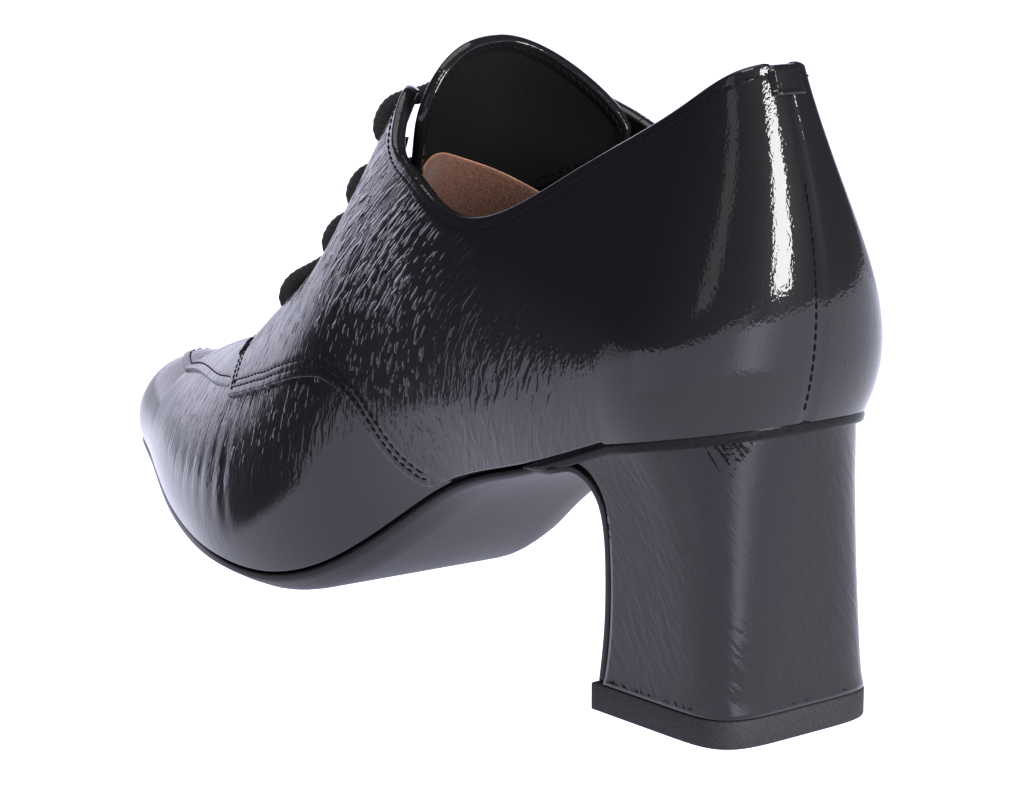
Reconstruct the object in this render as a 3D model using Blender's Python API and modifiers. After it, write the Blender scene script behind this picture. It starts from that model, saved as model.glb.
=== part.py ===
"""Lace-up pump with a block heel: a left shoe, built in millimetres on the surface of its last.

Every leather piece is cut from one function, last_point(side, lap, rise). A lap runs once along one side of
the shoe: -1 is the back seam, 0 the first section, 1 the last section and 2 the tip of the toe. A rise runs
up the wall: 0 is the feather edge where upper and sole meet, 1 is the top of the section.
Along the shoe the toe points to -Y, the wearer's left is +X and the floor is z = 0.
"""
import math

import bmesh
import bpy
import numpy as np

MM = 0.001

# Driving sizes, in millimetres
LENGTH = 258.0
BALL_WIDTH = 69.0
HEEL_SEAT = 58.3
INSTEP = 111.0
MID_LENGTH = 128.25
MID_WIDTH = -1.15

# Plain finishes: colour, roughness, coat
PATENT = ((0.012, 0.012, 0.014), 0.15, 1.0)
MATT = ((0.015, 0.015, 0.016), 0.7, 0.0)
SOLE_LEATHER = ((0.035, 0.035, 0.038), 0.5, 0.0)
LINING = ((0.16, 0.085, 0.055), 0.8, 0.0)

# Thicknesses and gaps, in millimetres
GAP = 0.3
UPPER_INSET = 0.75
UPPER_WALL = 1.3
OVERLAY_INSET = 0.2
QUARTER_WALL = 1.0
APRON_WALL = 0.7
TAB_WALL = 0.7
TONGUE_WALL = 1.8
INSOLE_WALL = 1.2
INSOLE_INSET = 2.6
INSOLE_END = -0.93
SOLE_EDGE = 1.6
SOLE_BEVEL = 9.0
SOLE_IN = 0.2
FLAP_THICK = 2.0
FLAP_GAP = 0.4
LIFT_THICK = 5.4
LACE_RADIUS = 1.75
LACE_GAP = 0.6

# Sections of the last. along is a share of LENGTH; near, far and the outs and halves are shares of
# BALL_WIDTH; feather is a share of HEEL_SEAT; top and the ups are shares of INSTEP.
SECTION_COLUMNS = ("along", "near", "far", "feather", "top_half", "far_spread", "top_shift", "top",
                   "low_out", "low_up", "high_out", "high_up")
SECTIONS = (
    (0.116, 0.352, 0.366, 0.904, 0.202, -0.045, 0.000, 1.099, 0.145, 0.198, 0.055, 0.216),
    (0.233, 0.345, 0.336, 0.724, 0.290, 0.050, 0.000, 1.081, 0.159, 0.216, 0.072, 0.216),
    (0.329, 0.331, 0.335, 0.580, 0.261, 0.130, 0.000, 1.099, 0.221, 0.234, 0.101, 0.198),
    (0.407, 0.357, 0.345, 0.368, 0.145, 0.190, 0.000, 1.108, 0.245, 0.252, 0.145, 0.144),
    (0.465, 0.412, 0.398, 0.204, 0.058, 0.110, 0.000, 1.002, 0.245, 0.252, 0.188, 0.081),
    (0.543, 0.474, 0.462, 0.091, 0.022, 0.000, 0.000, 0.743, 0.196, 0.234, 0.232, 0.036),
    (0.620, 0.488, 0.513, 0.089, 0.000, 0.000, 0.000, 0.580, 0.123, 0.198, 0.258, 0.014),
    (0.698, 0.425, 0.544, 0.100, 0.000, 0.000, -0.014, 0.439, 0.098, 0.171, 0.261, 0.000),
    (0.775, 0.331, 0.501, 0.122, 0.000, 0.000, -0.036, 0.381, 0.086, 0.153, 0.217, 0.000),
    (0.860, 0.202, 0.356, 0.152, 0.000, 0.000, -0.058, 0.311, 0.074, 0.126, 0.145, 0.000),
)
# Back seam and toe front, as the four handles of a curve from the feather edge up
BACK_CURVE = ((4.5, 58.3), (-4.0, 78.0), (3.0, 98.0), (12.0, 122.0))
BACK_POWER = 2.4
TOE_REACH = ((34.6, 12.0), (37.5, 19.5), (23.0, 35.0))
TOE_POWER = 2.0
TOE_TIP_SHIFT = -4.5
TOE_TAPER = 0.55
RIDGE_FROM = 160.0

# Top edge: height of the collar on each side, then half the opening between the facings and where the vamp
# closes under them
COLLAR_COLUMNS = ("along", "near", "far")
COLLAR = (
    (8.0, 123.4, 123.4), (13.0, 120.8, 120.8), (20.0, 115.3, 115.5), (40.0, 102.3, 104.0),
    (59.0, 91.6, 95.5), (71.0, 88.7, 94.5), (81.0, 90.0, 96.5), (95.0, 94.8, 101.2), (109.0, 101.0, 107.5),
    (115.0, 107.0, 112.0), (121.0, 108.0, 114.0),
)
COLLAR_END = 121.0
THROAT_COLUMNS = ("along", "half_gap")
THROAT = ((110.0, 9.5), (130.0, 8.0), (150.0, 6.0), (168.0, 3.8), (178.0, 3.0))
VAMP_THROAT = ((110.0, 9.5), (130.0, 8.0), (150.0, 6.0), (162.0, 4.5), (170.0, -0.5))

# Front line of the quarters and seam of the apron, as rise over distance along the shoe
QUARTER_COLUMNS = ("along", "rise")
QUARTER_LINE = ((88.0, 0.012), (91.0, 0.03), (96.0, 0.10), (101.0, 0.185), (106.0, 0.255), (111.0, 0.304),
                (117.0, 0.343), (126.0, 0.379), (136.0, 0.414), (146.0, 0.44), (160.0, 0.455), (163.0, 0.51),
                (166.0, 0.563), (170.0, 0.635), (175.0, 0.73), (178.0, 0.84))
APRON_LINE = ((166.0, 0.505), (181.0, 0.574), (203.0, 0.645), (217.0, 0.689), (222.0, 0.709))
APRON_FRONT_RISE = 0.81
APRON_BACK = 181.5
TAB_DEPTH = 0.075
TAB_REACH = 0.13

# Tongue: levels up its middle line, with half its width and how far each edge falls behind the middle
TONGUE_COLUMNS = ("along", "shift", "height", "half", "near_fall", "far_fall")
TONGUE = (
    (188.0, -1.5, 40.6, 10.5, 3.4, 3.4),
    (168.0, -0.8, 51.0, 13.0, 6.0, 6.0),
    (148.0, -0.5, 68.3, 14.5, 7.5, 7.5),
    (129.6, -3.2, 87.5, 14.0, 10.2, 8.2),
    (118.4, -7.7, 104.8, 21.3, 9.7, 22.4),
    (110.5, -7.1, 118.3, 20.4, 7.4, 15.2),
)
# How far each top corner of the tongue is cut, and how squarely
TONGUE_NEAR_CORNER = (0.185, 3.0)
TONGUE_FAR_CORNER = (0.13, 1.9)

# Heel: its axis turns towards the near side. Front of the heel and of the flap that covers it, from the
# waist of the sole down to the top lift, as distance along the heel's axis and height.
HEEL_TURN = math.radians(4.2)
LIFT_BACK = 2.4
LIFT_LENGTH = 36.2
LIFT_WIDTH = 40.0
LIFT_SHIFT = -0.4
LIFT_ROUND = 19.0
LIFT_POWER = 5.0
LIFT_OUT = 0.15
HEEL_FOOT_IN = 0.25
HEEL_RIM = 0.35
WAIST_FROM = 55.0
SOLE_COLUMNS = ("along", "thick")
SOLE = ((60.0, FLAP_THICK), (100.0, 3.3), (142.0, 4.95), (166.0, 4.95), (222.0, 4.1), (258.0, 3.0))
BREAST_COLUMNS = ("along", "height", "half", "drawn", "pinch")
BREAST = (
    (49.0, 45.0, 21.5, 0.0, 0.0), (44.0, 46.2, 21.0, 0.05, 0.03), (39.8, 44.8, 20.4, 0.20, 0.05),
    (36.8, 41.3, 19.7, 0.40, 0.06), (35.5, 36.0, 19.0, 0.60, 0.065), (35.0, 26.0, 18.6, 0.82, 0.055),
    (35.1, 15.0, 18.8, 0.96, 0.03), (35.9, LIFT_THICK + GAP, 19.2, 1.0, 0.0),
)
HEEL_TIP = 44.5

LACE_COLUMNS = ("near_along", "far_along", "half", "lift")
LACE_BARS = ((123.5, 123.5, 11.5, 0.4), (134.5, 134.5, 11.5, 0.0), (144.5, 144.5, 11.5, 0.0),
             (162.0, 152.5, 12.0, 1.0))


def column(table, columns, name):
    """One named column of a table, as numbers."""
    return np.array([row[columns.index(name)] for row in table], float)


def smooth_curve(xs, ys):
    """Smooth curve through points, with no bend at either end."""
    count = len(xs)
    step = np.diff(xs)
    matrix = np.eye(count)
    right = np.zeros(count)
    for i in range(1, count - 1):
        matrix[i, i - 1:i + 2] = step[i - 1], 2 * (step[i - 1] + step[i]), step[i]
        right[i] = 6 * ((ys[i + 1] - ys[i]) / step[i] - (ys[i] - ys[i - 1]) / step[i - 1])
    bend = np.linalg.solve(matrix, right)

    def at(x):
        i = np.clip(np.searchsorted(xs, x) - 1, 0, count - 2)
        after = xs[i + 1] - x
        before = x - xs[i]
        arc = (bend[i] * after ** 3 + bend[i + 1] * before ** 3) / (6 * step[i])
        line = (ys[i] / step[i] - bend[i] * step[i] / 6) * after
        return arc + line + (ys[i + 1] / step[i] - bend[i + 1] * step[i] / 6) * before

    return at


def section_curves():
    """Each column of the section table as a smooth curve along the shoe, in millimetres."""
    unit = {"feather": HEEL_SEAT, "top": INSTEP, "low_up": INSTEP, "high_up": INSTEP}
    along = column(SECTIONS, SECTION_COLUMNS, "along") * LENGTH
    curves = {}
    for name in SECTION_COLUMNS[1:]:
        values = column(SECTIONS, SECTION_COLUMNS, name) * unit.get(name, BALL_WIDTH)
        curves[name] = smooth_curve(along, values)
    return curves


SECTION = section_curves()
FIRST = SECTIONS[0][0] * LENGTH
LAST = SECTIONS[-1][0] * LENGTH
SIDES = {"near": 1.0, "far": -1.0}
SLOPE_STEP = 0.5
WELD = 0.02 * MM


def table_curve(table, columns, name):
    """A column of a table as a smooth curve along the shoe."""
    return smooth_curve(column(table, columns, "along"), column(table, columns, name))


COLLAR_CURVE = {side: table_curve(COLLAR, COLLAR_COLUMNS, side) for side in SIDES}


def lap_at(along):
    """Lap of a section at a distance along the shoe."""
    return (along - FIRST) / (LAST - FIRST)


def blend(handles, rise):
    """Points of a cubic curve with four handles."""
    rise = np.asarray(rise, float)[..., None]
    rest = 1 - rise
    p = np.asarray(handles, float)
    return p[0] * rest ** 3 + 3 * p[1] * rise * rest ** 2 + 3 * p[2] * rise ** 2 * rest + p[3] * rise ** 3


def section_wall(side, along, rise):
    """Half width and height of the wall in one section."""
    size = {name: curve(along) for name, curve in SECTION.items()}
    foot = np.array([size[side], size["feather"]])
    spread = size["far_spread"] if side == "far" else 0.0
    open_half = max(size["top_half"] + spread, 0.0) if along < RIDGE_FROM else 0.0
    head = np.array([open_half + SIDES[side] * size["top_shift"], size["top"]])
    low = foot + (size["low_out"], size["low_up"])
    high = head + (size["high_out"], -size["high_up"])
    return blend((foot, low, high, head), rise)


def back_point(side, turn, rise):
    """Points round the back of the heel: turn 0 is the first section, 1 the back seam."""
    wall = section_wall(side, FIRST, rise)
    slope = (wall - section_wall(side, FIRST + SLOPE_STEP, rise)) / SLOPE_STEP
    back = blend(BACK_CURVE, rise)
    reach = FIRST - back[:, 0]
    share = math.sin(turn * math.pi / 2) ** (2 / BACK_POWER)
    fall = max(0.0, 1 - share ** BACK_POWER) ** (1 / BACK_POWER)
    half = (wall[:, 0] + slope[:, 0] * reach * share * (1 - share)) * fall
    height = wall[:, 1] + (back[:, 1] - wall[:, 1]) * share
    return np.stack([FIRST - reach * share, SIDES[side] * half, height], -1)


def toe_point(side, turn, rise):
    """Points round the toe: turn 0 is the last section, 1 the middle of the front."""
    wall = section_wall(side, LAST, rise)
    slope = (wall - section_wall(side, LAST - SLOPE_STEP, rise)) / SLOPE_STEP
    front = blend(TOE_REACH + ((0.0, float(SECTION["top"](LAST))),), rise)
    reach = np.maximum(front[:, 0], 1e-6)
    share = math.sin(turn * math.pi / 2) ** (2 / TOE_POWER)
    fall = max(0.0, 1 - share ** TOE_POWER) ** (1 / TOE_POWER)
    ridge = float(SECTION["top_shift"](LAST))
    middle = SIDES[side] * (ridge + (TOE_TIP_SHIFT - ridge) * reach / TOE_REACH[0][0])
    taper = slope[:, 0] * reach * share * (1 - TOE_TAPER * share)
    half = middle + (wall[:, 0] + taper - middle) * fall
    height = wall[:, 1] + (front[:, 1] - wall[:, 1]) * share
    return np.stack([LAST + reach * share, SIDES[side] * half, height], -1)


def last_point(side, lap, rise):
    """Points of the last's surface: along, across towards the near side, up."""
    rise = np.atleast_1d(rise)
    if lap < 0:
        return back_point(side, -lap, rise)
    if lap > 1:
        return toe_point(side, lap - 1, rise)
    along = FIRST + lap * (LAST - FIRST)
    wall = section_wall(side, along, rise)
    return np.stack([np.full(len(wall), along), SIDES[side] * wall[:, 0], wall[:, 1]], -1)


def top_rise(side, lap, throat=THROAT):
    """Rise of the top edge: the collar, then the facing, then the closed ridge of the vamp."""
    rise = np.linspace(0.3, 1, 400)
    point = last_point(side, lap, rise)
    along = point[:, 0]
    collar = np.where(along < COLLAR_END, COLLAR_CURVE[side](np.clip(along, COLLAR[0][0], COLLAR_END)), 1e3)
    gap = np.interp(along, column(throat, THROAT_COLUMNS, "along"), column(throat, THROAT_COLUMNS, "half_gap"),
                    left=-1.0)
    middle = SECTION["top_shift"](np.clip(along, FIRST, LAST))
    over = np.maximum(point[:, 2] - collar, gap - np.abs(point[:, 1] - middle))
    past = np.nonzero(over > 0)[0]
    if len(past) == 0:
        return 1.0
    i = max(past[0], 1)
    return float(rise[i - 1] + (rise[i] - rise[i - 1]) * over[i - 1] / (over[i - 1] - over[i]))


def quarter_rise(lap):
    """Rise of the quarter's front line, which is the feather edge behind its foot."""
    along = FIRST + lap * (LAST - FIRST)
    return float(np.interp(along, column(QUARTER_LINE, QUARTER_COLUMNS, "along"),
                           column(QUARTER_LINE, QUARTER_COLUMNS, "rise")))


def apron_rise(lap):
    """Rise of the apron's seam along the vamp and round its front."""
    along = FIRST + min(lap, 1.0) * (LAST - FIRST)
    seam = smooth_curve(column(APRON_LINE, QUARTER_COLUMNS, "along"), column(APRON_LINE, QUARTER_COLUMNS, "rise"))
    rise = float(seam(along))
    if lap > 1:
        rise += (APRON_FRONT_RISE - rise) * math.sin((lap - 1) * math.pi / 2)
    return rise


def place(point):
    """A point of the shoe, in metres in the part's frame."""
    along, across, up = point
    return ((across - MID_WIDTH) * MM, (MID_LENGTH - along) * MM, up * MM)


def paint(thing, finish):
    """Give an object its own plain material."""
    colour, roughness, coat = finish
    material = bpy.data.materials.new(thing.name)
    material.use_nodes = True
    shader = material.node_tree.nodes["Principled BSDF"]
    shader.inputs["Base Color"].default_value = (*colour, 1.0)
    shader.inputs["Roughness"].default_value = roughness
    shader.inputs["Metallic"].default_value = 0.0
    shader.inputs["Coat Weight"].default_value = coat
    thing.data.materials.append(material)


def new_object(name, mesh, parent):
    """Put a mesh into the shoe's collection, under its empty."""
    thing = bpy.data.objects.new(name, mesh)
    parent.users_collection[0].objects.link(thing)
    thing.parent = parent
    return thing


def finish_mesh(frame, name):
    """Weld a mesh in the making and hand it over."""
    bmesh.ops.remove_doubles(frame, verts=frame.verts, dist=WELD)
    bmesh.ops.dissolve_degenerate(frame, edges=frame.edges, dist=WELD / 2)
    mesh = bpy.data.meshes.new(name)
    frame.to_mesh(mesh)
    frame.free()
    return mesh


def skin_mesh(name, sides):
    """Mesh of wall grids, one per side, welded where the sides meet."""
    frame = bmesh.new()
    for side, grid in sides.items():
        rows = [[frame.verts.new(place(point)) for point in line] for line in grid]
        for here, ahead in zip(rows, rows[1:]):
            for k in range(len(here) - 1):
                ring = (here[k], here[k + 1], ahead[k + 1], ahead[k])
                frame.faces.new(ring if side == "near" else ring[::-1])
    mesh = finish_mesh(frame, name)
    mesh.shade_smooth()
    return mesh


def wall_grids(laps, low, high, rows):
    """Wall points of both sides, from the low rise to the high rise of each lap."""
    grids = {}
    for side in SIDES:
        grid = []
        for lap in laps:
            rise = np.linspace(low(side, lap), high(side, lap), rows)
            grid.append(last_point(side, lap, rise))
        grids[side] = grid
    return grids


def shell(name, mesh, parent, shift, wall, outward):
    """A sheet at a distance from the last, thickened to a wall."""
    thing = new_object(name, mesh, parent)
    move = thing.modifiers.new("Offset from the last", "DISPLACE")
    move.mid_level = 0.0
    move.strength = shift * MM
    thick = thing.modifiers.new("Wall", "SOLIDIFY")
    thick.thickness = wall * MM
    thick.offset = 1.0 if outward else -1.0
    thick.use_even_offset = True
    thick.use_quality_normals = True
    return thing


def body_laps(stations):
    """Laps of sections at the given distances along the shoe."""
    return [lap_at(along) for along in stations]


UPPER_ROWS = 13
QUARTER_ROWS = 9
APRON_ROWS = 7
TAB_ROWS = 4
TONGUE_ROWS = 17
BACK_LAPS = list(np.linspace(-1.0, 0.0, 8)[:-1])
TOE_LAPS = list(np.linspace(1.0, 2.0, 8)[1:])
BODY_STATIONS = (FIRST, 37.0, 44.0, 51.0, 58.0, 65.0, 72.0, 79.0, 86.0, 92.0, 98.0, 104.0, 109.0, 112.0, 115.0,
                 118.0, 123.0, 129.0, 136.0, 143.0, 150.0, 157.0, 164.0, 170.0, 175.0, 178.0, 181.5, 188.0, 196.0,
                 204.0, 213.0, LAST)


def make_upper(parent):
    """Vamp and quarters as one hollow wall, open at the collar, throat and underneath."""
    laps = BACK_LAPS + body_laps(BODY_STATIONS) + TOE_LAPS
    grids = wall_grids(laps, lambda side, lap: 0.0, lambda side, lap: top_rise(side, lap, VAMP_THROAT),
                       UPPER_ROWS)
    mesh = skin_mesh("upper", grids)
    thing = shell("upper", mesh, parent, -UPPER_INSET, UPPER_WALL, outward=False)
    paint(thing, PATENT)


def make_quarters(parent):
    """Quarter overlay, round the heel from one facing to the other."""
    stations = [along for along in BODY_STATIONS if along <= QUARTER_LINE[-1][0]]
    laps = BACK_LAPS + body_laps(stations)
    mesh = skin_mesh("quarters", wall_grids(laps, lambda side, lap: quarter_rise(lap), top_rise, QUARTER_ROWS))
    thing = shell("quarters", mesh, parent, -OVERLAY_INSET, QUARTER_WALL, outward=True)
    paint(thing, PATENT)


def make_apron(parent):
    """Raised apron on top of the vamp, ahead of the quarters."""
    stations = [along for along in BODY_STATIONS if along >= APRON_BACK]
    laps = body_laps(stations) + TOE_LAPS
    grids = wall_grids(laps, lambda side, lap: apron_rise(lap), lambda side, lap: 1.0, APRON_ROWS)
    mesh = skin_mesh("apron", grids)
    thing = shell("apron", mesh, parent, -OVERLAY_INSET, APRON_WALL, outward=True)
    paint(thing, PATENT)


def make_heel_tab(parent):
    """Small tab over the top of the back seam."""
    laps = np.linspace(-1.0, TAB_REACH - 1.0, TAB_ROWS)
    grids = wall_grids(laps, lambda side, lap: top_rise(side, lap) - TAB_DEPTH, top_rise, TAB_ROWS)
    shift = QUARTER_WALL - OVERLAY_INSET + GAP
    thing = shell("heel_tab", skin_mesh("heel_tab", grids), parent, shift, TAB_WALL, outward=True)
    paint(thing, PATENT)


def tongue_grid(levels, across):
    """Points of the tongue's sheet, from under the vamp to its rounded top."""
    share = np.linspace(0, 1, len(TONGUE))
    size = {name: smooth_curve(share, column(TONGUE, TONGUE_COLUMNS, name)) for name in TONGUE_COLUMNS}
    grid = []
    for v in across:
        line = []
        cut, power = TONGUE_NEAR_CORNER if v > 0 else TONGUE_FAR_CORNER
        top = 1 - cut * (1 - math.sqrt(max(0.0, 1 - abs(v) ** power)))
        for u in np.linspace(0, top, levels):
            along, height = size["along"](u), size["height"](u)
            ahead = np.array([size["along"](u + 0.01) - along, size["height"](u + 0.01) - height])
            ahead /= np.hypot(*ahead)
            fall = size["near_fall" if v > 0 else "far_fall"](u) * v * v
            across_here = size["shift"](u) + size["half"](u) * v
            line.append((along - ahead[1] * fall, across_here, height + ahead[0] * fall))
        grid.append(line)
    return grid


def make_tongue(parent):
    """Tongue under the facings, with a rounded top that stands above them."""
    across = np.sin(np.linspace(1, -1, TONGUE_ROWS) * math.pi / 2)
    mesh = skin_mesh("tongue", {"near": tongue_grid(TONGUE_ROWS, across)})
    thing = shell("tongue", mesh, parent, 0.0, TONGUE_WALL, outward=False)
    paint(thing, MATT)


def floor_line(side, lap, inset):
    """A point of the feather edge, moved towards the middle of the sole by an inset."""
    step = 0.004
    here = last_point(side, lap, 0.0)[0]
    back = last_point(side, max(lap - step, -1.0), 0.0)[0]
    ahead = last_point(side, min(lap + step, 2.0), 0.0)[0]
    run = (ahead - back)[:2]
    run /= np.hypot(*run)
    inward = np.array([run[1], -run[0]]) * SIDES[side]
    if abs(lap + 1) < 1e-9 or abs(lap - 2) < 1e-9:
        inward = np.array([1.0 if lap < 0 else -1.0, 0.0])
    return np.array([*(here[:2] + inward * inset), here[2]])


def make_insole(parent):
    """Insole inside the upper, from the back of the heel to the toe."""
    laps = [INSOLE_END] + BACK_LAPS[2::2] + body_laps(BODY_STATIONS) + TOE_LAPS[:-2:2]
    grid = []
    for lap in laps:
        near = floor_line("near", lap, INSOLE_INSET)
        far = floor_line("far", lap, INSOLE_INSET)
        grid.append([near + (far - near) * share + (0, 0, GAP) for share in (0.0, 0.5, 1.0)])
    mesh = skin_mesh("insole", {"near": grid})
    thing = shell("insole", mesh, parent, 0.0, INSOLE_WALL, outward=True)
    paint(thing, LINING)


def turned(along, across):
    """A point of the heel's own axes, turned with the heel."""
    c, s = math.cos(HEEL_TURN), math.sin(HEEL_TURN)
    return np.array([along * c - across * s, along * s + across * c])


def sole_rungs():
    """Rungs of the outsole from the toe to the waist, then down the front of the heel.

    Each rung is a near point and a far point of the sole's upper face, and the thickness there."""
    rungs = []
    waist = [along for along in BODY_STATIONS if along >= WAIST_FROM]
    for lap in (TOE_LAPS[::-1] + body_laps(waist[::-1])):
        near = floor_line("near", lap, SOLE_IN)
        far = floor_line("far", lap, SOLE_IN)
        thick = np.interp(near[0], column(SOLE, SOLE_COLUMNS, "along"), column(SOLE, SOLE_COLUMNS, "thick"))
        rungs.append((near - (0, 0, GAP), far - (0, 0, GAP), thick))
    for along, height, half, _, _ in BREAST:
        near = np.array([*turned(along, half), height])
        far = np.array([*turned(along, -half), height])
        rungs.append((near, far, FLAP_THICK))
    return rungs


def sole_section(before, rung, after):
    """Six points round the sole at a rung: upper face, edge and bevelled lower face."""
    near, far, thick = rung
    run = (after[0] + after[1] - before[0] - before[1]) / 2
    down = np.array([-run[2], 0.0, run[0]])
    down /= np.linalg.norm(down)
    width = far - near
    span = np.linalg.norm(width)
    inward = width / span * min(SOLE_BEVEL, 0.3 * span) if span > 1e-3 else width
    edge = down * min(SOLE_EDGE, 0.75 * thick)
    return [near, near + edge, near + down * thick + inward, far + down * thick - inward, far + edge, far]


def make_outsole(parent):
    """Thin sole with toe spring and arch, which runs on down the front of the heel as a flap."""
    rungs = sole_rungs()
    frame = bmesh.new()
    rings = []
    for i, rung in enumerate(rungs):
        ring = sole_section(rungs[max(i - 1, 0)], rung, rungs[min(i + 1, len(rungs) - 1)])
        rings.append([frame.verts.new(place((p[0], p[1], max(p[2], 0.0)))) for p in ring])
    for here, ahead in zip(rings, rings[1:]):
        for k in range(6):
            frame.faces.new((here[k], ahead[k], ahead[(k + 1) % 6], here[(k + 1) % 6]))
    frame.faces.new(rings[0][::-1])
    frame.faces.new(rings[-1])
    bmesh.ops.recalc_face_normals(frame, faces=frame.faces)
    thing = new_object("outsole", finish_mesh(frame, "outsole"), parent)
    paint(thing, SOLE_LEATHER)


HEEL_TURNS = tuple(np.linspace(0.0, 1.0, 10))
HEEL_SIDE_STEPS = 4


def heel_top_outline():
    """Outline of the heel's top face, from the near front corner round the back to the far front corner."""
    front = lap_at(HEEL_TIP)
    sides = {}
    for side in SIDES:
        laps = list(np.linspace(front, 0.0, HEEL_SIDE_STEPS + 1)[:-1]) + [-turn for turn in HEEL_TURNS]
        sides[side] = [floor_line(side, lap, -HEEL_RIM) - (0, 0, GAP) for lap in laps]
    return sides["near"] + sides["far"][-2::-1]


def lift_outline(grow, front):
    """Squared outline with round rear corners, in the same order of points as the heel's top."""
    half = LIFT_WIDTH / 2 + grow
    middle = LIFT_BACK + LIFT_ROUND
    sides = {}
    for side, sign in SIDES.items():
        straight = np.linspace(front, middle, HEEL_SIDE_STEPS + 1)[:-1]
        line = [turned(along, LIFT_SHIFT + sign * half) for along in straight]
        for turn in HEEL_TURNS:
            angle = turn * math.pi / 2
            back = (LIFT_ROUND + grow) * math.sin(angle) ** (2 / LIFT_POWER)
            out = half * max(0.0, math.cos(angle)) ** (2 / LIFT_POWER)
            line.append(turned(middle - back, LIFT_SHIFT + sign * out))
        sides[side] = line
    return sides["near"] + sides["far"][-2::-1]


def heel_fronts():
    """Front of the heel at each level, a gap behind the flap that covers it."""
    line = np.stack([column(BREAST, BREAST_COLUMNS, name) for name in ("along", "height")], -1)
    run = np.gradient(line, axis=0)
    run /= np.linalg.norm(run, axis=1)[:, None]
    behind = np.stack([run[:, 1], -run[:, 0]], -1)
    return (line + behind * FLAP_GAP)[1:]


def make_heel(parent):
    """Block heel with hollowed sides, from the rounded seat to the squared top lift."""
    top = heel_top_outline()
    foot = LIFT_THICK + GAP
    fronts = heel_fronts()
    bottom = lift_outline(-HEEL_FOOT_IN, fronts[-1][0])
    axis = turned(LIFT_BACK + LIFT_ROUND, LIFT_SHIFT)
    rings = [top]
    drawn_in = column(BREAST, BREAST_COLUMNS, "drawn")[1:]
    pinched = column(BREAST, BREAST_COLUMNS, "pinch")[1:]
    for front, drawn, pinch in zip(fronts, drawn_in, pinched):
        drop = (top[0][2] - front[1]) / (top[0][2] - foot)
        plans = []
        for start, end in zip(top, bottom):
            plan = start[:2] + (end - start[:2]) * drawn
            plans.append(axis + (plan - axis) * (1 - pinch))
        ring = []
        for k, (start, plan) in enumerate(zip(top, plans)):
            forward = max(0.0, 1 - min(k, len(top) - 1 - k) / HEEL_SIDE_STEPS)
            corner_along = plans[0 if k < len(top) / 2 else -1][0]
            front_along = turned(front[0], 0.0)[0] - math.tan(HEEL_TURN) * plan[1]
            along = plan[0] + (front_along - corner_along) * forward
            ring.append(np.array([along, plan[1], start[2] + (foot - start[2]) * drop]))
        rings.append(ring)
    frame = bmesh.new()
    rings = [[frame.verts.new(place(point)) for point in ring] for ring in rings]
    for here, below in zip(rings, rings[1:]):
        for k in range(len(here)):
            ahead = (k + 1) % len(here)
            frame.faces.new((here[k], here[ahead], below[ahead], below[k]))
    for ring in (rings[0], rings[-1]):
        for k in range(len(ring) // 2):
            quad = (ring[k], ring[k + 1], ring[-k - 2], ring[-k - 1])
            frame.faces.new(tuple(dict.fromkeys(quad)))
    bmesh.ops.recalc_face_normals(frame, faces=frame.faces)
    thing = new_object("heel", finish_mesh(frame, "heel"), parent)
    paint(thing, PATENT)


def make_top_lift(parent):
    """Rubber top lift: the heel's squared outline, extruded."""
    curve = bpy.data.curves.new("top_lift", "CURVE")
    curve.dimensions = "2D"
    curve.fill_mode = "BOTH"
    curve.extrude = LIFT_THICK / 2 * MM
    points = lift_outline(LIFT_OUT, LIFT_BACK + LIFT_LENGTH)
    line = curve.splines.new("POLY")
    line.points.add(len(points) - 1)
    for slot, point in zip(line.points, points):
        x, y, _ = place((point[0], point[1], 0.0))
        slot.co = (x, y, 0.0, 1.0)
    line.use_cyclic_u = True
    thing = new_object("top_lift", curve, parent)
    thing.location.z = LIFT_THICK / 2 * MM
    paint(thing, MATT)


def lace_spot(side, along, across):
    """A point of a lace bar's middle line over a facing, at a distance from the shoe's middle."""
    clear = QUARTER_WALL - OVERLAY_INSET + LACE_GAP + LACE_RADIUS
    lap = lap_at(along)
    rises = np.linspace(0.45, 1, 200)
    wall = last_point(side, lap, rises)
    k = int(np.clip(np.argmin(np.abs(np.abs(wall[:, 1]) - across)), 1, len(rises) - 2))
    up = wall[k + 1] - wall[k - 1]
    ahead = last_point(side, lap + 0.01, rises[k])[0] - last_point(side, lap - 0.01, rises[k])[0]
    out = np.cross(up, ahead) * SIDES[side]
    return wall[k] + out / np.linalg.norm(out) * clear


def lace_points(near_along, far_along, half, lift):
    """Middle line of one lace bar: up each facing, and straight over the throat between them."""
    edge = float(np.interp((near_along + far_along) / 2, column(THROAT, THROAT_COLUMNS, "along"),
                           column(THROAT, THROAT_COLUMNS, "half_gap")))
    near = [lace_spot("near", near_along, across) for across in (half, edge)]
    far = [lace_spot("far", far_along, across) for across in (half, edge)]
    return near + [(near[-1] + far[-1]) / 2 + (0.0, 0.0, lift)] + far[::-1]


def make_lace_bars(parent):
    """Lace bars over the throat, one for each pair of eyelets."""
    for number, bar in enumerate(LACE_BARS, start=1):
        curve = bpy.data.curves.new(f"lace_bar_{number}", "CURVE")
        curve.dimensions = "3D"
        curve.bevel_depth = LACE_RADIUS * MM
        curve.bevel_resolution = 2
        curve.use_fill_caps = True
        points = lace_points(**dict(zip(LACE_COLUMNS, bar)))
        line = curve.splines.new("POLY")
        line.points.add(len(points) - 1)
        for slot, point in zip(line.points, points):
            slot.co = (*place(point), 1.0)
        thing = new_object(f"lace_bar_{number}", curve, parent)
        paint(thing, MATT)


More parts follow.
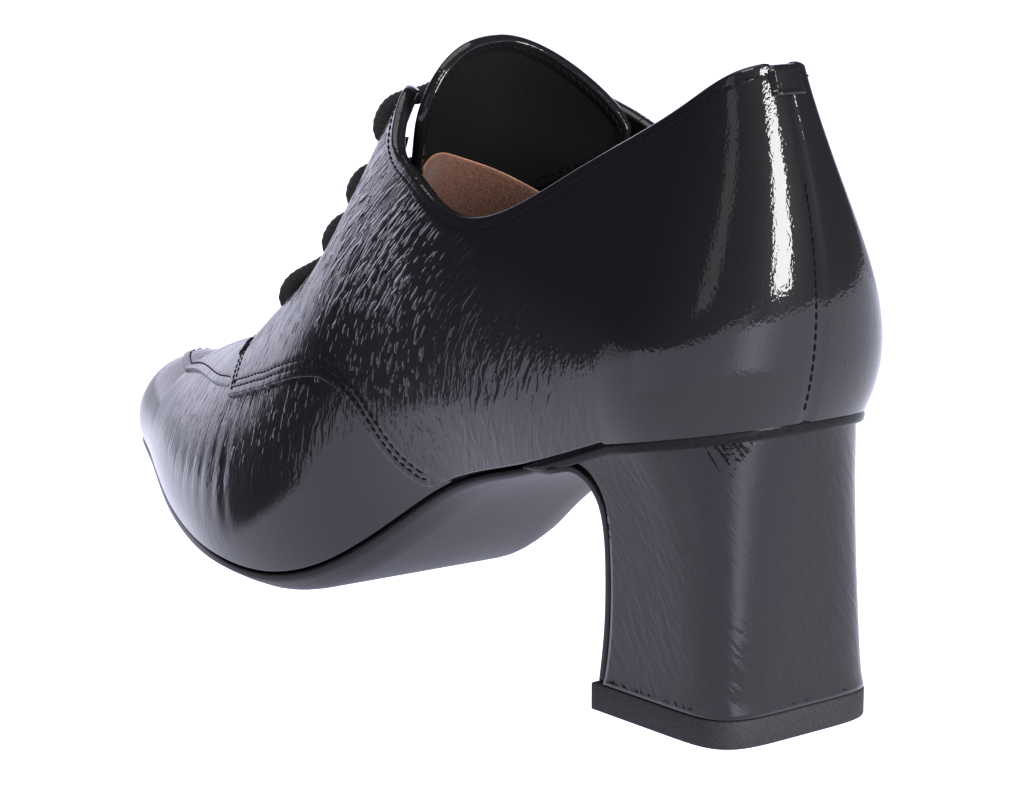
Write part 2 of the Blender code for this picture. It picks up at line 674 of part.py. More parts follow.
def main():
    for thing in list(bpy.data.objects):
        bpy.data.objects.remove(thing)
    parts = bpy.data.collections.new("lace_up_shoe")
    bpy.context.scene.collection.children.link(parts)
    shoe = bpy.data.objects.new("shoe_frame", None)
    parts.objects.link(shoe)
    make_upper(shoe)
    make_quarters(shoe)
    make_apron(shoe)
    make_heel_tab(shoe)
    make_tongue(shoe)
    make_insole(shoe)
    make_outsole(shoe)
    make_heel(shoe)
    make_top_lift(shoe)
    make_lace_bars(shoe)


main()
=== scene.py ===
"""Looks of the lace-up shoe: patent leather, lining, stitches and lace, on a pale floor in soft studio light.

Lengths are in millimetres in the shoe's own axes: along from the back seam to the toe, across towards the
wearer's left, up from the floor. place() takes them into the frame, in metres. The leather follows the same
last as the solids: last_point(side, lap, rise), where a lap runs from -1 at the back seam to 2 at the tip of
the toe, and a rise from 0 at the feather edge to 1 at the top of the section.
"""
import math

import bpy
import numpy as np
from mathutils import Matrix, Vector
from mathutils.kdtree import KDTree


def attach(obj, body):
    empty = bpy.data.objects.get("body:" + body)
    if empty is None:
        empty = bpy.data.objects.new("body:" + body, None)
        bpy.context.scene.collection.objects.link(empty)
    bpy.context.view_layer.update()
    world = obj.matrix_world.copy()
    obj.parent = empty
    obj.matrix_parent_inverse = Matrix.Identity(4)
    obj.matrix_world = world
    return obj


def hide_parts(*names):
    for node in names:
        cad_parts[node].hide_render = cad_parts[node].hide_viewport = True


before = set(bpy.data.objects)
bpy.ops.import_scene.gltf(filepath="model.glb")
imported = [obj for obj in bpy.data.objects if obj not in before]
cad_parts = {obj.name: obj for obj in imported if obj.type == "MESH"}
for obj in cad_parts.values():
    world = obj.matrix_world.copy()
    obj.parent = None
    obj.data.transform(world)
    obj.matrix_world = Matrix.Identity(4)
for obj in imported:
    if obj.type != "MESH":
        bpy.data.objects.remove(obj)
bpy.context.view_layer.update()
MM = 0.001
TINY = 1e-12

# Sizes of the last, as in the part's source
LENGTH = 258.0
BALL_WIDTH = 69.0
HEEL_SEAT = 58.3
INSTEP = 111.0
MID_LENGTH = 128.25
MID_WIDTH = -1.15
GAP = 0.3
UPPER_INSET = 0.75
UPPER_WALL = 1.3
OVERLAY_INSET = 0.2
QUARTER_WALL = 1.0
APRON_WALL = 0.7
TAB_WALL = 0.7
TONGUE_WALL = 1.8
INSOLE_WALL = 1.2
SOLE_EDGE = 1.6
SOLE_BEVEL = 9.0
FLAP_THICK = 2.0
LIFT_THICK = 5.4
LACE_RADIUS = 1.75

SECTION_COLUMNS = ("along", "near", "far", "feather", "top_half", "far_spread", "top_shift", "top",
                   "low_out", "low_up", "high_out", "high_up")
SECTIONS = (
    (0.116, 0.352, 0.366, 0.904, 0.202, -0.045, 0.000, 1.099, 0.145, 0.198, 0.055, 0.216),
    (0.233, 0.345, 0.336, 0.724, 0.290, 0.050, 0.000, 1.081, 0.159, 0.216, 0.072, 0.216),
    (0.329, 0.331, 0.335, 0.580, 0.261, 0.130, 0.000, 1.099, 0.221, 0.234, 0.101, 0.198),
    (0.407, 0.357, 0.345, 0.368, 0.145, 0.190, 0.000, 1.108, 0.245, 0.252, 0.145, 0.144),
    (0.465, 0.412, 0.398, 0.204, 0.058, 0.110, 0.000, 1.002, 0.245, 0.252, 0.188, 0.081),
    (0.543, 0.474, 0.462, 0.091, 0.022, 0.000, 0.000, 0.743, 0.196, 0.234, 0.232, 0.036),
    (0.620, 0.488, 0.513, 0.089, 0.000, 0.000, 0.000, 0.580, 0.123, 0.198, 0.258, 0.014),
    (0.698, 0.425, 0.544, 0.100, 0.000, 0.000, -0.014, 0.439, 0.098, 0.171, 0.261, 0.000),
    (0.775, 0.331, 0.501, 0.122, 0.000, 0.000, -0.036, 0.381, 0.086, 0.153, 0.217, 0.000),
    (0.860, 0.202, 0.356, 0.152, 0.000, 0.000, -0.058, 0.311, 0.074, 0.126, 0.145, 0.000),
)
BACK_CURVE = ((4.5, 58.3), (-4.0, 78.0), (3.0, 98.0), (12.0, 122.0))
BACK_POWER = 2.4
TOE_REACH = ((34.6, 12.0), (37.5, 19.5), (23.0, 35.0))
TOE_POWER = 2.0
TOE_TIP_SHIFT = -4.5
TOE_TAPER = 0.55
RIDGE_FROM = 160.0
COLLAR_COLUMNS = ("along", "near", "far")
COLLAR = (
    (8.0, 123.4, 123.4), (13.0, 120.8, 120.8), (20.0, 115.3, 115.5), (40.0, 102.3, 104.0),
    (59.0, 91.6, 95.5), (71.0, 88.7, 94.5), (81.0, 90.0, 96.5), (95.0, 94.8, 101.2), (109.0, 101.0, 107.5),
    (115.0, 107.0, 112.0), (121.0, 108.0, 114.0),
)
COLLAR_END = 121.0
THROAT_COLUMNS = ("along", "half_gap")
THROAT = ((110.0, 9.5), (130.0, 8.0), (150.0, 6.0), (168.0, 3.8), (178.0, 3.0))
VAMP_THROAT = ((110.0, 9.5), (130.0, 8.0), (150.0, 6.0), (162.0, 4.5), (170.0, -0.5))
SEAM_COLUMNS = ("along", "rise")
QUARTER_LINE = ((88.0, 0.012), (91.0, 0.03), (96.0, 0.10), (101.0, 0.185), (106.0, 0.255), (111.0, 0.304),
                (117.0, 0.343), (126.0, 0.379), (136.0, 0.414), (146.0, 0.44), (160.0, 0.455), (163.0, 0.51),
                (166.0, 0.563), (170.0, 0.635), (175.0, 0.73), (178.0, 0.84))
APRON_LINE = ((166.0, 0.505), (181.0, 0.574), (203.0, 0.645), (217.0, 0.689), (222.0, 0.709))
APRON_FRONT_RISE = 0.81
TONGUE_COLUMNS = ("along", "shift", "height", "half", "near_fall", "far_fall")
TONGUE = (
    (188.0, -1.5, 40.6, 10.5, 3.4, 3.4),
    (168.0, -0.8, 51.0, 13.0, 6.0, 6.0),
    (148.0, -0.5, 68.3, 14.5, 7.5, 7.5),
    (129.6, -3.2, 87.5, 14.0, 10.2, 8.2),
    (118.4, -7.7, 104.8, 21.3, 9.7, 22.4),
    (110.5, -7.1, 118.3, 20.4, 7.4, 15.2),
)
TONGUE_NEAR_CORNER = (0.185, 3.0)
TONGUE_FAR_CORNER = (0.13, 1.9)
HEEL_TURN = math.radians(4.2)
LIFT_BACK = 2.4
LIFT_LENGTH = 36.2
LIFT_WIDTH = 40.0
LIFT_SHIFT = -0.4
LIFT_ROUND = 19.0
LIFT_POWER = 5.0
LIFT_OUT = 0.15
HEEL_FOOT_IN = 0.25
HEEL_RIM = 0.35
HEEL_TIP = 44.5
FLAP_GAP = 0.4
WAIST_FROM = 55.0
SOLE_COLUMNS = ("along", "thick")
SOLE = ((60.0, FLAP_THICK), (100.0, 3.3), (142.0, 4.95), (166.0, 4.95), (222.0, 4.1), (258.0, 3.0))
BREAST_COLUMNS = ("along", "height", "half", "drawn", "pinch")
BREAST = (
    (49.0, 45.0, 21.5, 0.0, 0.0), (44.0, 46.2, 21.0, 0.05, 0.03), (39.8, 44.8, 20.4, 0.20, 0.05),
    (36.8, 41.3, 19.7, 0.40, 0.06), (35.5, 36.0, 19.0, 0.60, 0.065), (35.0, 26.0, 18.6, 0.82, 0.055),
    (35.1, 15.0, 18.8, 0.96, 0.03), (35.9, LIFT_THICK + GAP, 19.2, 1.0, 0.0),
)
LACE_COLUMNS = ("near_along", "far_along", "half", "lift")
LACE_BARS = ((123.5, 123.5, 11.5, 0.4), (134.5, 134.5, 11.5, 0.0), (144.5, 144.5, 11.5, 0.0),
             (162.0, 152.5, 12.0, 1.0))

# Camera, as fitted to the photograph: a spot that it looks at, its turn and height, its distance and its lens
VIEW_SPOT = (110.0, -10.112, 43.965)
VIEW_TURN = math.radians(34.804)
VIEW_HEIGHT = math.radians(11.906)
VIEW_DISTANCE = 671.1
VIEW_LENS = 113.46
VIEW_SENSOR = 36.0

CREASE_SHARE = 0.35
# Main creases of the leather: from one place to another, half width and depth
CREASE_COLUMNS = ("side", "along_from", "rise_from", "along_to", "rise_to", "half_width", "depth")
VAMP_CREASES = (
    ("near", 150.0, 0.10, 154.0, 0.40, 1.6, 0.35), ("near", 157.0, 0.14, 160.0, 0.45, 1.5, 0.35),
    ("near", 164.0, 0.12, 167.0, 0.46, 1.6, 0.40), ("near", 171.0, 0.16, 173.0, 0.50, 1.4, 0.30),
    ("near", 178.0, 0.14, 180.0, 0.50, 1.5, 0.30), ("near", 186.0, 0.20, 187.0, 0.48, 1.4, 0.22),
    ("far", 152.0, 0.10, 156.0, 0.40, 1.6, 0.35), ("far", 160.0, 0.14, 163.0, 0.46, 1.5, 0.35),
    ("far", 169.0, 0.12, 171.0, 0.48, 1.5, 0.35), ("far", 178.0, 0.16, 180.0, 0.50, 1.5, 0.28),
)
QUARTER_CREASES = (
    ("near", 112.0, 0.62, 92.0, 0.74, 1.7, 0.40), ("near", 117.0, 0.57, 94.0, 0.68, 1.6, 0.40),
    ("near", 120.0, 0.50, 97.0, 0.61, 1.6, 0.35), ("near", 114.0, 0.42, 97.0, 0.54, 1.5, 0.32),
    ("near", 108.0, 0.36, 94.0, 0.47, 1.5, 0.28), ("near", 132.0, 0.52, 124.0, 0.68, 1.5, 0.30),
    ("near", 142.0, 0.54, 133.0, 0.72, 1.5, 0.30), ("near", 152.0, 0.56, 144.0, 0.74, 1.5, 0.28),
    ("far", 112.0, 0.60, 92.0, 0.72, 1.7, 0.38), ("far", 118.0, 0.54, 95.0, 0.66, 1.6, 0.36),
    ("far", 116.0, 0.46, 96.0, 0.57, 1.5, 0.30), ("far", 140.0, 0.54, 131.0, 0.72, 1.5, 0.28),
)


# The last

def column(table, columns, name):
    """One named column of a table, as numbers."""
    return np.array([row[columns.index(name)] for row in table], float)


def line_at(along, table, columns, name, left=None):
    """A column of a table at places along the shoe, with straight lines between its rows."""
    return np.interp(along, column(table, columns, "along"), column(table, columns, name), left=left)


def unit(vectors):
    """Vectors scaled to a length of 1."""
    return vectors / np.maximum(np.linalg.norm(vectors, axis=-1, keepdims=True), TINY)


def run_along(path):
    """Distance along a path to each of its points."""
    return np.concatenate([[0.0], np.cumsum(np.linalg.norm(np.diff(path, axis=0), axis=1))])


def points_at(at, run, path):
    """Points of a path at distances along it."""
    return np.stack([np.interp(at, run, path[:, k]) for k in range(3)], -1)


def smooth_curve(xs, ys):
    """Smooth curve through points, with no bend at either end."""
    count = len(xs)
    step = np.diff(xs)
    matrix = np.eye(count)
    right = np.zeros(count)
    for i in range(1, count - 1):
        matrix[i, i - 1:i + 2] = step[i - 1], 2 * (step[i - 1] + step[i]), step[i]
        right[i] = 6 * ((ys[i + 1] - ys[i]) / step[i] - (ys[i] - ys[i - 1]) / step[i - 1])
    bend = np.linalg.solve(matrix, right)

    def at(x):
        i = np.clip(np.searchsorted(xs, x) - 1, 0, count - 2)
        after = xs[i + 1] - x
        before = x - xs[i]
        arc = (bend[i] * after ** 3 + bend[i + 1] * before ** 3) / (6 * step[i])
        line = (ys[i] / step[i] - bend[i] * step[i] / 6) * after
        return arc + line + (ys[i + 1] / step[i] - bend[i + 1] * step[i] / 6) * before

    return at


def table_curve(table, columns, name):
    """A column of a table as a smooth curve along the shoe."""
    return smooth_curve(column(table, columns, "along"), column(table, columns, name))


def section_curves():
    """Each column of the section table as a smooth curve along the shoe, in millimetres."""
    unit = {"feather": HEEL_SEAT, "top": INSTEP, "low_up": INSTEP, "high_up": INSTEP}
    along = column(SECTIONS, SECTION_COLUMNS, "along") * LENGTH
    curves = {}
    for name in SECTION_COLUMNS[1:]:
        values = column(SECTIONS, SECTION_COLUMNS, name) * unit.get(name, BALL_WIDTH)
        curves[name] = smooth_curve(along, values)
    return curves


SECTION = section_curves()
FIRST = SECTIONS[0][0] * LENGTH
LAST = SECTIONS[-1][0] * LENGTH
SIDES = {"near": 1.0, "far": -1.0}
SLOPE_STEP = 0.5
LAP_STEP = 0.004
TOP_FROM = 0.3
TOP_STEPS = 400
NO_COLLAR = 1e3
COLLAR_CURVE = {side: table_curve(COLLAR, COLLAR_COLUMNS, side) for side in SIDES}
APRON_SEAM = table_curve(APRON_LINE, SEAM_COLUMNS, "rise")


def lap_at(along):
    """Lap of a section at a distance along the shoe."""
    return (along - FIRST) / (LAST - FIRST)


def along_at(lap):
    """Distance along the shoe of a section's lap."""
    return FIRST + lap * (LAST - FIRST)


def blend(handles, rise):
    """Points of a cubic curve with four handles."""
    rise = np.asarray(rise, float)[..., None]
    rest = 1 - rise
    p = np.asarray(handles, float)
    return p[0] * rest ** 3 + 3 * p[1] * rise * rest ** 2 + 3 * p[2] * rise ** 2 * rest + p[3] * rise ** 3


def section_wall(side, along, rise):
    """Half width and height of the wall in one section."""
    size = {name: curve(along) for name, curve in SECTION.items()}
    foot = np.array([size[side], size["feather"]])
    spread = size["far_spread"] if side == "far" else 0.0
    open_half = max(size["top_half"] + spread, 0.0) if along < RIDGE_FROM else 0.0
    head = np.array([open_half + SIDES[side] * size["top_shift"], size["top"]])
    low = foot + (size["low_out"], size["low_up"])
    high = head + (size["high_out"], -size["high_up"])
    return blend((foot, low, high, head), rise)


def back_point(side, turn, rise):
    """Points round the back of the heel: turn 0 is the first section, 1 the back seam."""
    wall = section_wall(side, FIRST, rise)
    slope = (wall - section_wall(side, FIRST + SLOPE_STEP, rise)) / SLOPE_STEP
    back = blend(BACK_CURVE, rise)
    reach = FIRST - back[:, 0]
    share = math.sin(turn * math.pi / 2) ** (2 / BACK_POWER)
    fall = max(0.0, 1 - share ** BACK_POWER) ** (1 / BACK_POWER)
    half = (wall[:, 0] + slope[:, 0] * reach * share * (1 - share)) * fall
    height = wall[:, 1] + (back[:, 1] - wall[:, 1]) * share
    return np.stack([FIRST - reach * share, SIDES[side] * half, height], -1)


def toe_point(side, turn, rise):
    """Points round the toe: turn 0 is the last section, 1 the middle of the front."""
    wall = section_wall(side, LAST, rise)
    slope = (wall - section_wall(side, LAST - SLOPE_STEP, rise)) / SLOPE_STEP
    front = blend(TOE_REACH + ((0.0, float(SECTION["top"](LAST))),), rise)
    reach = np.maximum(front[:, 0], 1e-6)
    share = math.sin(turn * math.pi / 2) ** (2 / TOE_POWER)
    fall = max(0.0, 1 - share ** TOE_POWER) ** (1 / TOE_POWER)
    ridge = float(SECTION["top_shift"](LAST))
    middle = SIDES[side] * (ridge + (TOE_TIP_SHIFT - ridge) * reach / TOE_REACH[0][0])
    taper = slope[:, 0] * reach * share * (1 - TOE_TAPER * share)
    half = middle + (wall[:, 0] + taper - middle) * fall
    height = wall[:, 1] + (front[:, 1] - wall[:, 1]) * share
    return np.stack([LAST + reach * share, SIDES[side] * half, height], -1)


def last_point(side, lap, rise):
    """Points of the last's surface: along, across towards the near side, up."""
    rise = np.atleast_1d(rise)
    if lap < 0:
        return back_point(side, -lap, rise)
    if lap > 1:
        return toe_point(side, lap - 1, rise)
    along = along_at(lap)
    wall = section_wall(side, along, rise)
    return np.stack([np.full(len(wall), along), SIDES[side] * wall[:, 0], wall[:, 1]], -1)


def top_rise(side, lap, throat=THROAT):
    """Rise of the upper's top edge: the collar, then the facing, then the closed ridge of the vamp."""
    rise = np.linspace(TOP_FROM, 1, TOP_STEPS)
    point = last_point(side, lap, rise)
    along = point[:, 0]
    collar = COLLAR_CURVE[side](np.clip(along, COLLAR[0][0], COLLAR_END))
    collar = np.where(along < COLLAR_END, collar, NO_COLLAR)
    gap = line_at(along, throat, THROAT_COLUMNS, "half_gap", left=-1.0)
    middle = SECTION["top_shift"](np.clip(along, FIRST, LAST))
    over = np.maximum(point[:, 2] - collar, gap - np.abs(point[:, 1] - middle))
    past = np.nonzero(over > 0)[0]
    if len(past) == 0:
        return 1.0
    i = max(past[0], 1)
    return float(rise[i - 1] + (rise[i] - rise[i - 1]) * over[i - 1] / (over[i - 1] - over[i]))


def quarter_rise(lap):
    """Rise of the quarter's front line, which is the feather edge behind its foot."""
    return float(line_at(along_at(lap), QUARTER_LINE, SEAM_COLUMNS, "rise"))


def apron_rise(lap):
    """Rise of the apron's seam along the vamp and round its front."""
    rise = float(APRON_SEAM(along_at(min(lap, 1.0))))
    if lap > 1:
        rise += (APRON_FRONT_RISE - rise) * math.sin((lap - 1) * math.pi / 2)
    return rise


def floor_line(side, lap, inset):
    """A point of the feather edge, moved towards the middle of the sole by an inset."""
    here = last_point(side, lap, 0.0)[0]
    back = last_point(side, max(lap - LAP_STEP, -1.0), 0.0)[0]
    ahead = last_point(side, min(lap + LAP_STEP, 2.0), 0.0)[0]
    run = unit((ahead - back)[:2])
    inward = np.array([run[1], -run[0]]) * SIDES[side]
    if lap in (-1.0, 2.0):
        inward = np.array([1.0 if lap < 0 else -1.0, 0.0])
    return np.array([*(here[:2] + inward * inset), here[2]])


# Meshes

def place(points):
    """Points of the shoe, in metres in the frame."""
    points = np.asarray(points, float)
    return np.stack([points[..., 1] - MID_WIDTH, MID_LENGTH - points[..., 0], points[..., 2]], -1) * MM


GRAIN_SCALE = 0.01


def piece(name, points, quads, finishes, slot, solid=None, kinds=None, grain=None, crinkle=None):
    """A shaded object that rides on the shoe, with its finishes as material slots, perhaps in place of a
    solid. Its slot argument is not used.
    """
    mesh = bpy.data.meshes.new(name)
    mesh.from_pydata(place(points).tolist(), [], [tuple(dict.fromkeys(quad)) for quad in quads.tolist()])
    for finish in finishes:
        mesh.materials.append(finish)
    if kinds is not None:
        mesh.polygons.foreach_set("material_index", np.asarray(kinds, np.int32))
    corner = np.empty(len(mesh.loops), np.int32)
    mesh.loops.foreach_get("vertex_index", corner)
    if grain is not None:
        layer = mesh.uv_layers.new(name="grain")
        layer.data.foreach_set("uv", (grain[corner] * GRAIN_SCALE).astype(np.float32).ravel())
    if crinkle is not None:
        layer = mesh.attributes.new("crinkle", "FLOAT", "POINT")
        layer.data.foreach_set("value", crinkle.astype(np.float32))
    mesh.shade_smooth()
    thing = bpy.data.objects.new(name, mesh)
    bpy.context.scene.collection.objects.link(thing)
    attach(thing, "root")
    if solid is not None:
        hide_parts(solid)


def grid_quads(lines, rows, closed=False, start=0):
    """Faces of a grid of points that is stored line by line."""
    count = lines if closed else lines - 1
    i, j = np.meshgrid(np.arange(count), np.arange(rows - 1), indexing="ij")
    ahead = (i + 1) % lines
    quads = np.stack([i * rows + j, ahead * rows + j, ahead * rows + j + 1, i * rows + j + 1], -1)
    return quads.reshape(-1, 4) + start


def ring_quads(levels, count):
    """Faces between closed rings of points that are stored ring by ring."""
    quads = grid_quads(count, levels, closed=True)
    return (quads % levels) * count + quads // levels


def capped_rings(rings):
    """Points and faces of closed rings, with a strip of faces over the first and the last one."""
    grid = np.array(rings)
    levels, count = grid.shape[:2]
    strip = np.array([(k, k + 1, count - 2 - k, count - 1 - k) for k in range((count - 1) // 2)])
    faces = [ring_quads(levels, count), strip[:, ::-1], strip + (levels - 1) * count]
    return grid.reshape(-1, 3), np.concatenate(faces)


def join(parts):
    """Points and faces of several meshes as one."""
    starts = np.cumsum([0] + [len(points) for points, _ in parts])
    faces = [quads + start for (_, quads), start in zip(parts, starts)]
    return np.concatenate([points for points, _ in parts]), np.concatenate(faces)


def weld(points, quads, extras=()):
    """Join points that lie together, and drop faces that vanish."""
    key = np.round(points, 3)
    _, first, back = np.unique(key, axis=0, return_index=True, return_inverse=True)
    quads = back.reshape(-1)[quads]
    kinds = np.array([len(set(quad)) for quad in quads.tolist()])
    return points[first], quads[kinds > 2], [extra[first] for extra in extras]


def vertex_normals(points, quads):
    """Mean normal of the faces at each point."""
    a, b, c, d = (points[quads[:, k]] for k in range(4))
    face = np.cross(c - a, d - b)
    normal = np.zeros_like(points)
    for k in range(4):
        np.add.at(normal, quads[:, k], face)
    return unit(normal)


def border(quads):
    """Edges that only one face has, as a map from each start to its end."""
    edges = np.concatenate([quads[:, [k, (k + 1) % 4]] for k in range(4)])
    pairs = {(a, b) for a, b in edges.tolist() if a != b}
    return {a: b for a, b in pairs if (b, a) not in pairs}


RIM_STEPS = 5
RIM_BULGE = 0.4


def wall(points, quads, outer, inner, bulge=RIM_BULGE):
    """Closed wall round a sheet: outer face, inner face and a rounded edge.

    Returns points, faces, a slot per face (0 outer and edge, 1 inner) and each point's place in the sheet."""
    normal = vertex_normals(points, quads)
    outer = np.broadcast_to(outer, len(points))
    inner = np.broadcast_to(inner, len(points))
    ahead = border(quads)
    behind = {b: a for a, b in ahead.items()}
    rim = np.array(sorted(ahead))
    order = {v: i for i, v in enumerate(rim.tolist())}
    after = np.array([order[ahead[v]] for v in rim.tolist()])
    before = np.array([order[behind[v]] for v in rim.tolist()])
    away = unit(np.cross(points[rim[after]] - points[rim[before]], normal[rim]))
    middle = ((outer + inner) / 2)[rim]
    half = ((outer - inner) / 2)[rim]
    count = len(points)
    layers = [points + normal * outer[:, None], points + normal * inner[:, None]]
    rings = [rim]
    for k in range(1, RIM_STEPS):
        angle = math.pi * k / RIM_STEPS
        level = (middle + half * math.cos(angle))[:, None]
        layers.append(points[rim] + normal[rim] * level + away * (bulge * half * math.sin(angle))[:, None])
        rings.append(2 * count + (k - 1) * len(rim) + np.arange(len(rim)))
    rings.append(rim + count)
    faces = [quads, quads[:, ::-1] + count]
    for here, below in zip(rings, rings[1:]):
        faces.append(np.stack([here[after], here, below, below[after]], -1))
    slots = np.zeros(sum(len(f) for f in faces), np.int32)
    slots[len(quads):2 * len(quads)] = 1
    parents = np.concatenate([np.arange(count)] * 2 + [rim] * (RIM_STEPS - 1))
    return np.concatenate(layers), np.concatenate(faces), slots, parents


EDGE_ROWS = (0.0, 0.3, 0.6, 0.95, 1.3, 1.65, 2.0, 2.35, 2.7, 3.1, 3.5, 3.9, 4.3, 4.8, 5.4, 6.2)
FINE_LENGTH = 24.0
WALL_STEPS = 160
PATH_STEP = 0.25


def graded(length, rows):
    """Distances along a line, close together near both of its ends."""
    close = np.array(EDGE_ROWS) * min(1.0, length / FINE_LENGTH)
    middle = np.linspace(close[-1], length - close[-1], rows - 2 * len(close) + 2)
    return np.concatenate([close, middle[1:-1], length - close[::-1]])


def wall_sheet(spots, low, high, rows):
    """Points up the last's wall, a line for each spot, and their rises."""
    points, rises = [], []
    for side, lap in spots:
        dense = np.linspace(low(side, lap), high(side, lap), WALL_STEPS)
        run = run_along(last_point(side, lap, dense))
        rise = np.interp(graded(run[-1], rows), run, dense)
        points.append(last_point(side, lap, rise))
        rises.append(rise)
    return np.array(points), np.array(rises)


def distance_to(points, path):
    """Distance from each point to the nearest of a path's points, and which one that is."""
    tree = KDTree(len(path))
    for i, spot in enumerate(path.tolist()):
        tree.insert(spot, i)
    tree.balance()
    found = [tree.find(point) for point in points.tolist()]
    return np.array([hit[2] for hit in found]), np.array([hit[1] for hit in found])


def thicken_path(path):
    """A path with points close together."""
    run = run_along(path)
    count = max(2, int(run[-1] / PATH_STEP))
    return points_at(np.linspace(0, run[-1], count), run, path)


CREASE_STEPS = 24
CREASE_BOW = 0.015
CREASE_ENDS = (0.06, 0.94)
CREASE_FADE = 0.8
RIDGE_SHARE = 0.5
RIDGE_AT = 1.8


def crease_relief(points, creases):
    """Soft troughs with a low ridge on both sides, fading at their ends."""
    relief = np.zeros(len(points))
    share = np.linspace(0, 1, CREASE_STEPS)
    fades = np.sin(np.pi * np.interp(share, (0, 1), CREASE_ENDS)) ** CREASE_FADE
    for row in creases:
        crease = dict(zip(CREASE_COLUMNS, row))
        along = np.interp(share, (0, 1), (crease["along_from"], crease["along_to"]))
        rise = np.interp(share, (0, 1), (crease["rise_from"], crease["rise_to"]))
        rise += CREASE_BOW * np.sin(share * math.pi)
        path = np.array([last_point(crease["side"], lap_at(a), r)[0] for a, r in zip(along, rise)])
        gap, which = distance_to(points, path)
        across = gap / crease["half_width"]
        shape = RIDGE_SHARE * np.exp(-(across - RIDGE_AT) ** 2) - np.exp(-across ** 2)
        relief += CREASE_SHARE * crease["depth"] * fades[which] * shape
    return relief


def groove(gap, at, width, depth):
    """A trough at a distance from an edge."""
    return -depth * np.exp(-((gap - at) / width) ** 2)


# Finishes

def new_finish(name, colour, roughness, **inputs):
    """A material with a Principled shader, and its node tree."""
    material = bpy.data.materials.new(name)
    material.use_nodes = True
    shader = material.node_tree.nodes["Principled BSDF"]
    shader.inputs["Base Color"].default_value = (*colour, 1.0)
    shader.inputs["Roughness"].default_value = roughness
    for label, value in inputs.items():
        shader.inputs[label.replace("_", " ")].default_value = value
    return material, material.node_tree, shader


def node(tree, kind, **settings):
    """A node of a material, with its settings and input values."""
    made = tree.nodes.new(kind)
    for key, value in settings.items():
        if key in made.inputs.keys():
            made.inputs[key].default_value = value
        else:
            setattr(made, key, value)
    return made


def math_node(tree, operation, *values):
    """A sum, product or the like of values or sockets."""
    made = tree.nodes.new("ShaderNodeMath")
    made.operation = operation
    for slot, value in zip(made.inputs, values):
        if isinstance(value, (int, float)):
            slot.default_value = value
        else:
            tree.links.new(value, slot)
    return made.outputs[0]


def times(tree, first, second):
    """Product of two values or sockets."""
    return math_node(tree, "MULTIPLY", first, second)


def plus(tree, first, second):
    """Sum of two values or sockets."""
    return math_node(tree, "ADD", first, second)


def add_relief(tree, shader, height, distance, sockets=("Normal",)):
    """Relief of a surface, from a socket that gives its height."""
    bump = node(tree, "ShaderNodeBump", Strength=1.0, Distance=distance)
    tree.links.new(height, bump.inputs["Height"])
    for socket in sockets:
        tree.links.new(bump.outputs["Normal"], shader.inputs[socket])


def grain_noise(tree, stretch, scale, distortion=0.0):
    """Noise in the leather's own grain, stretched along it."""
    spot = node(tree, "ShaderNodeMapping", Scale=(1.0, 1.0 / stretch, 1.0))
    tree.links.new(node(tree, "ShaderNodeUVMap", uv_map="grain").outputs["UV"], spot.inputs["Vector"])
    noise = node(tree, "ShaderNodeTexNoise", Scale=scale, Detail=1.0, Roughness=0.55, Distortion=distortion)
    tree.links.new(spot.outputs["Vector"], noise.inputs["Vector"])
    return noise.outputs["Fac"]


def soft_step(tree, value, start, end):
    """A socket that goes softly from 0 to 1 as a value goes from a start to an end."""
    step = node(tree, "ShaderNodeMapRange", interpolation_type="SMOOTHSTEP")
    step.inputs["From Min"].default_value = start
    step.inputs["From Max"].default_value = end
    tree.links.new(value, step.inputs["Value"])
    return step.outputs["Result"]


# Noise of the patent leather: stretch along the grain, scale and distortion
WRINKLE_NOISE = (3.0, 92.0, 0.2)
FOLD_NOISE = (2.8, 56.0, 0.5)
WAVE_NOISE = (3.2, 58.0, 0.6)
PEBBLE_NOISE = (1.3, 150.0)
# Noise values between which a wrinkle or fold rises
WRINKLE_EDGES = (0.57, 0.74)
FOLD_EDGES = (0.47, 0.67)
# Amounts of crinkle between which wrinkles, folds and waves come, and waves calm down again
WRINKLES_COME = (0.22, 0.7)
FOLDS_COME = (1.0, 1.4)
WAVES_COME = (0.0, 0.25)
WAVES_CALM = (0.3, 0.7)
CALMED_SHARE = 0.75
WAVE_GAIN = 4.0
WAVE_REST = 0.6


def patent_finish(name, colour, wrinkle, ripple, pebble):
    """Patent leather under a clear coat: short wrinkles where it bends, ripples and a fine pebble."""
    material, tree, shader = new_finish(name, colour, 0.4, Coat_Weight=1.0, Coat_Roughness=0.03,
                                        Coat_IOR=1.39, Specular_IOR_Level=0.05)
    amount = node(tree, "ShaderNodeAttribute", attribute_name="crinkle").outputs["Fac"]
    fine = soft_step(tree, grain_noise(tree, *WRINKLE_NOISE), *WRINKLE_EDGES)
    broad = soft_step(tree, grain_noise(tree, *FOLD_NOISE), *FOLD_EDGES)
    folds = times(tree, broad, soft_step(tree, amount, *FOLDS_COME))
    dashes = times(tree, plus(tree, fine, folds), soft_step(tree, amount, *WRINKLES_COME))
    waves = grain_noise(tree, *WAVE_NOISE)
    calm = math_node(tree, "MULTIPLY_ADD", soft_step(tree, amount, *WAVES_CALM), -CALMED_SHARE, 1.0)
    rippled = times(tree, calm, soft_step(tree, amount, *WAVES_COME))
    bent = plus(tree, times(tree, times(tree, dashes, wrinkle), amount),
                times(tree, times(tree, waves, WAVE_GAIN * ripple), rippled))
    plain = plus(tree, times(tree, waves, WAVE_REST * ripple),
                 times(tree, grain_noise(tree, *PEBBLE_NOISE), pebble))
    add_relief(tree, shader, plus(tree, bent, plain), MM, ("Normal", "Coat Normal"))
    return material


GRAIN_TONES = ((0.3, 0.7), (0.7, 1.3))


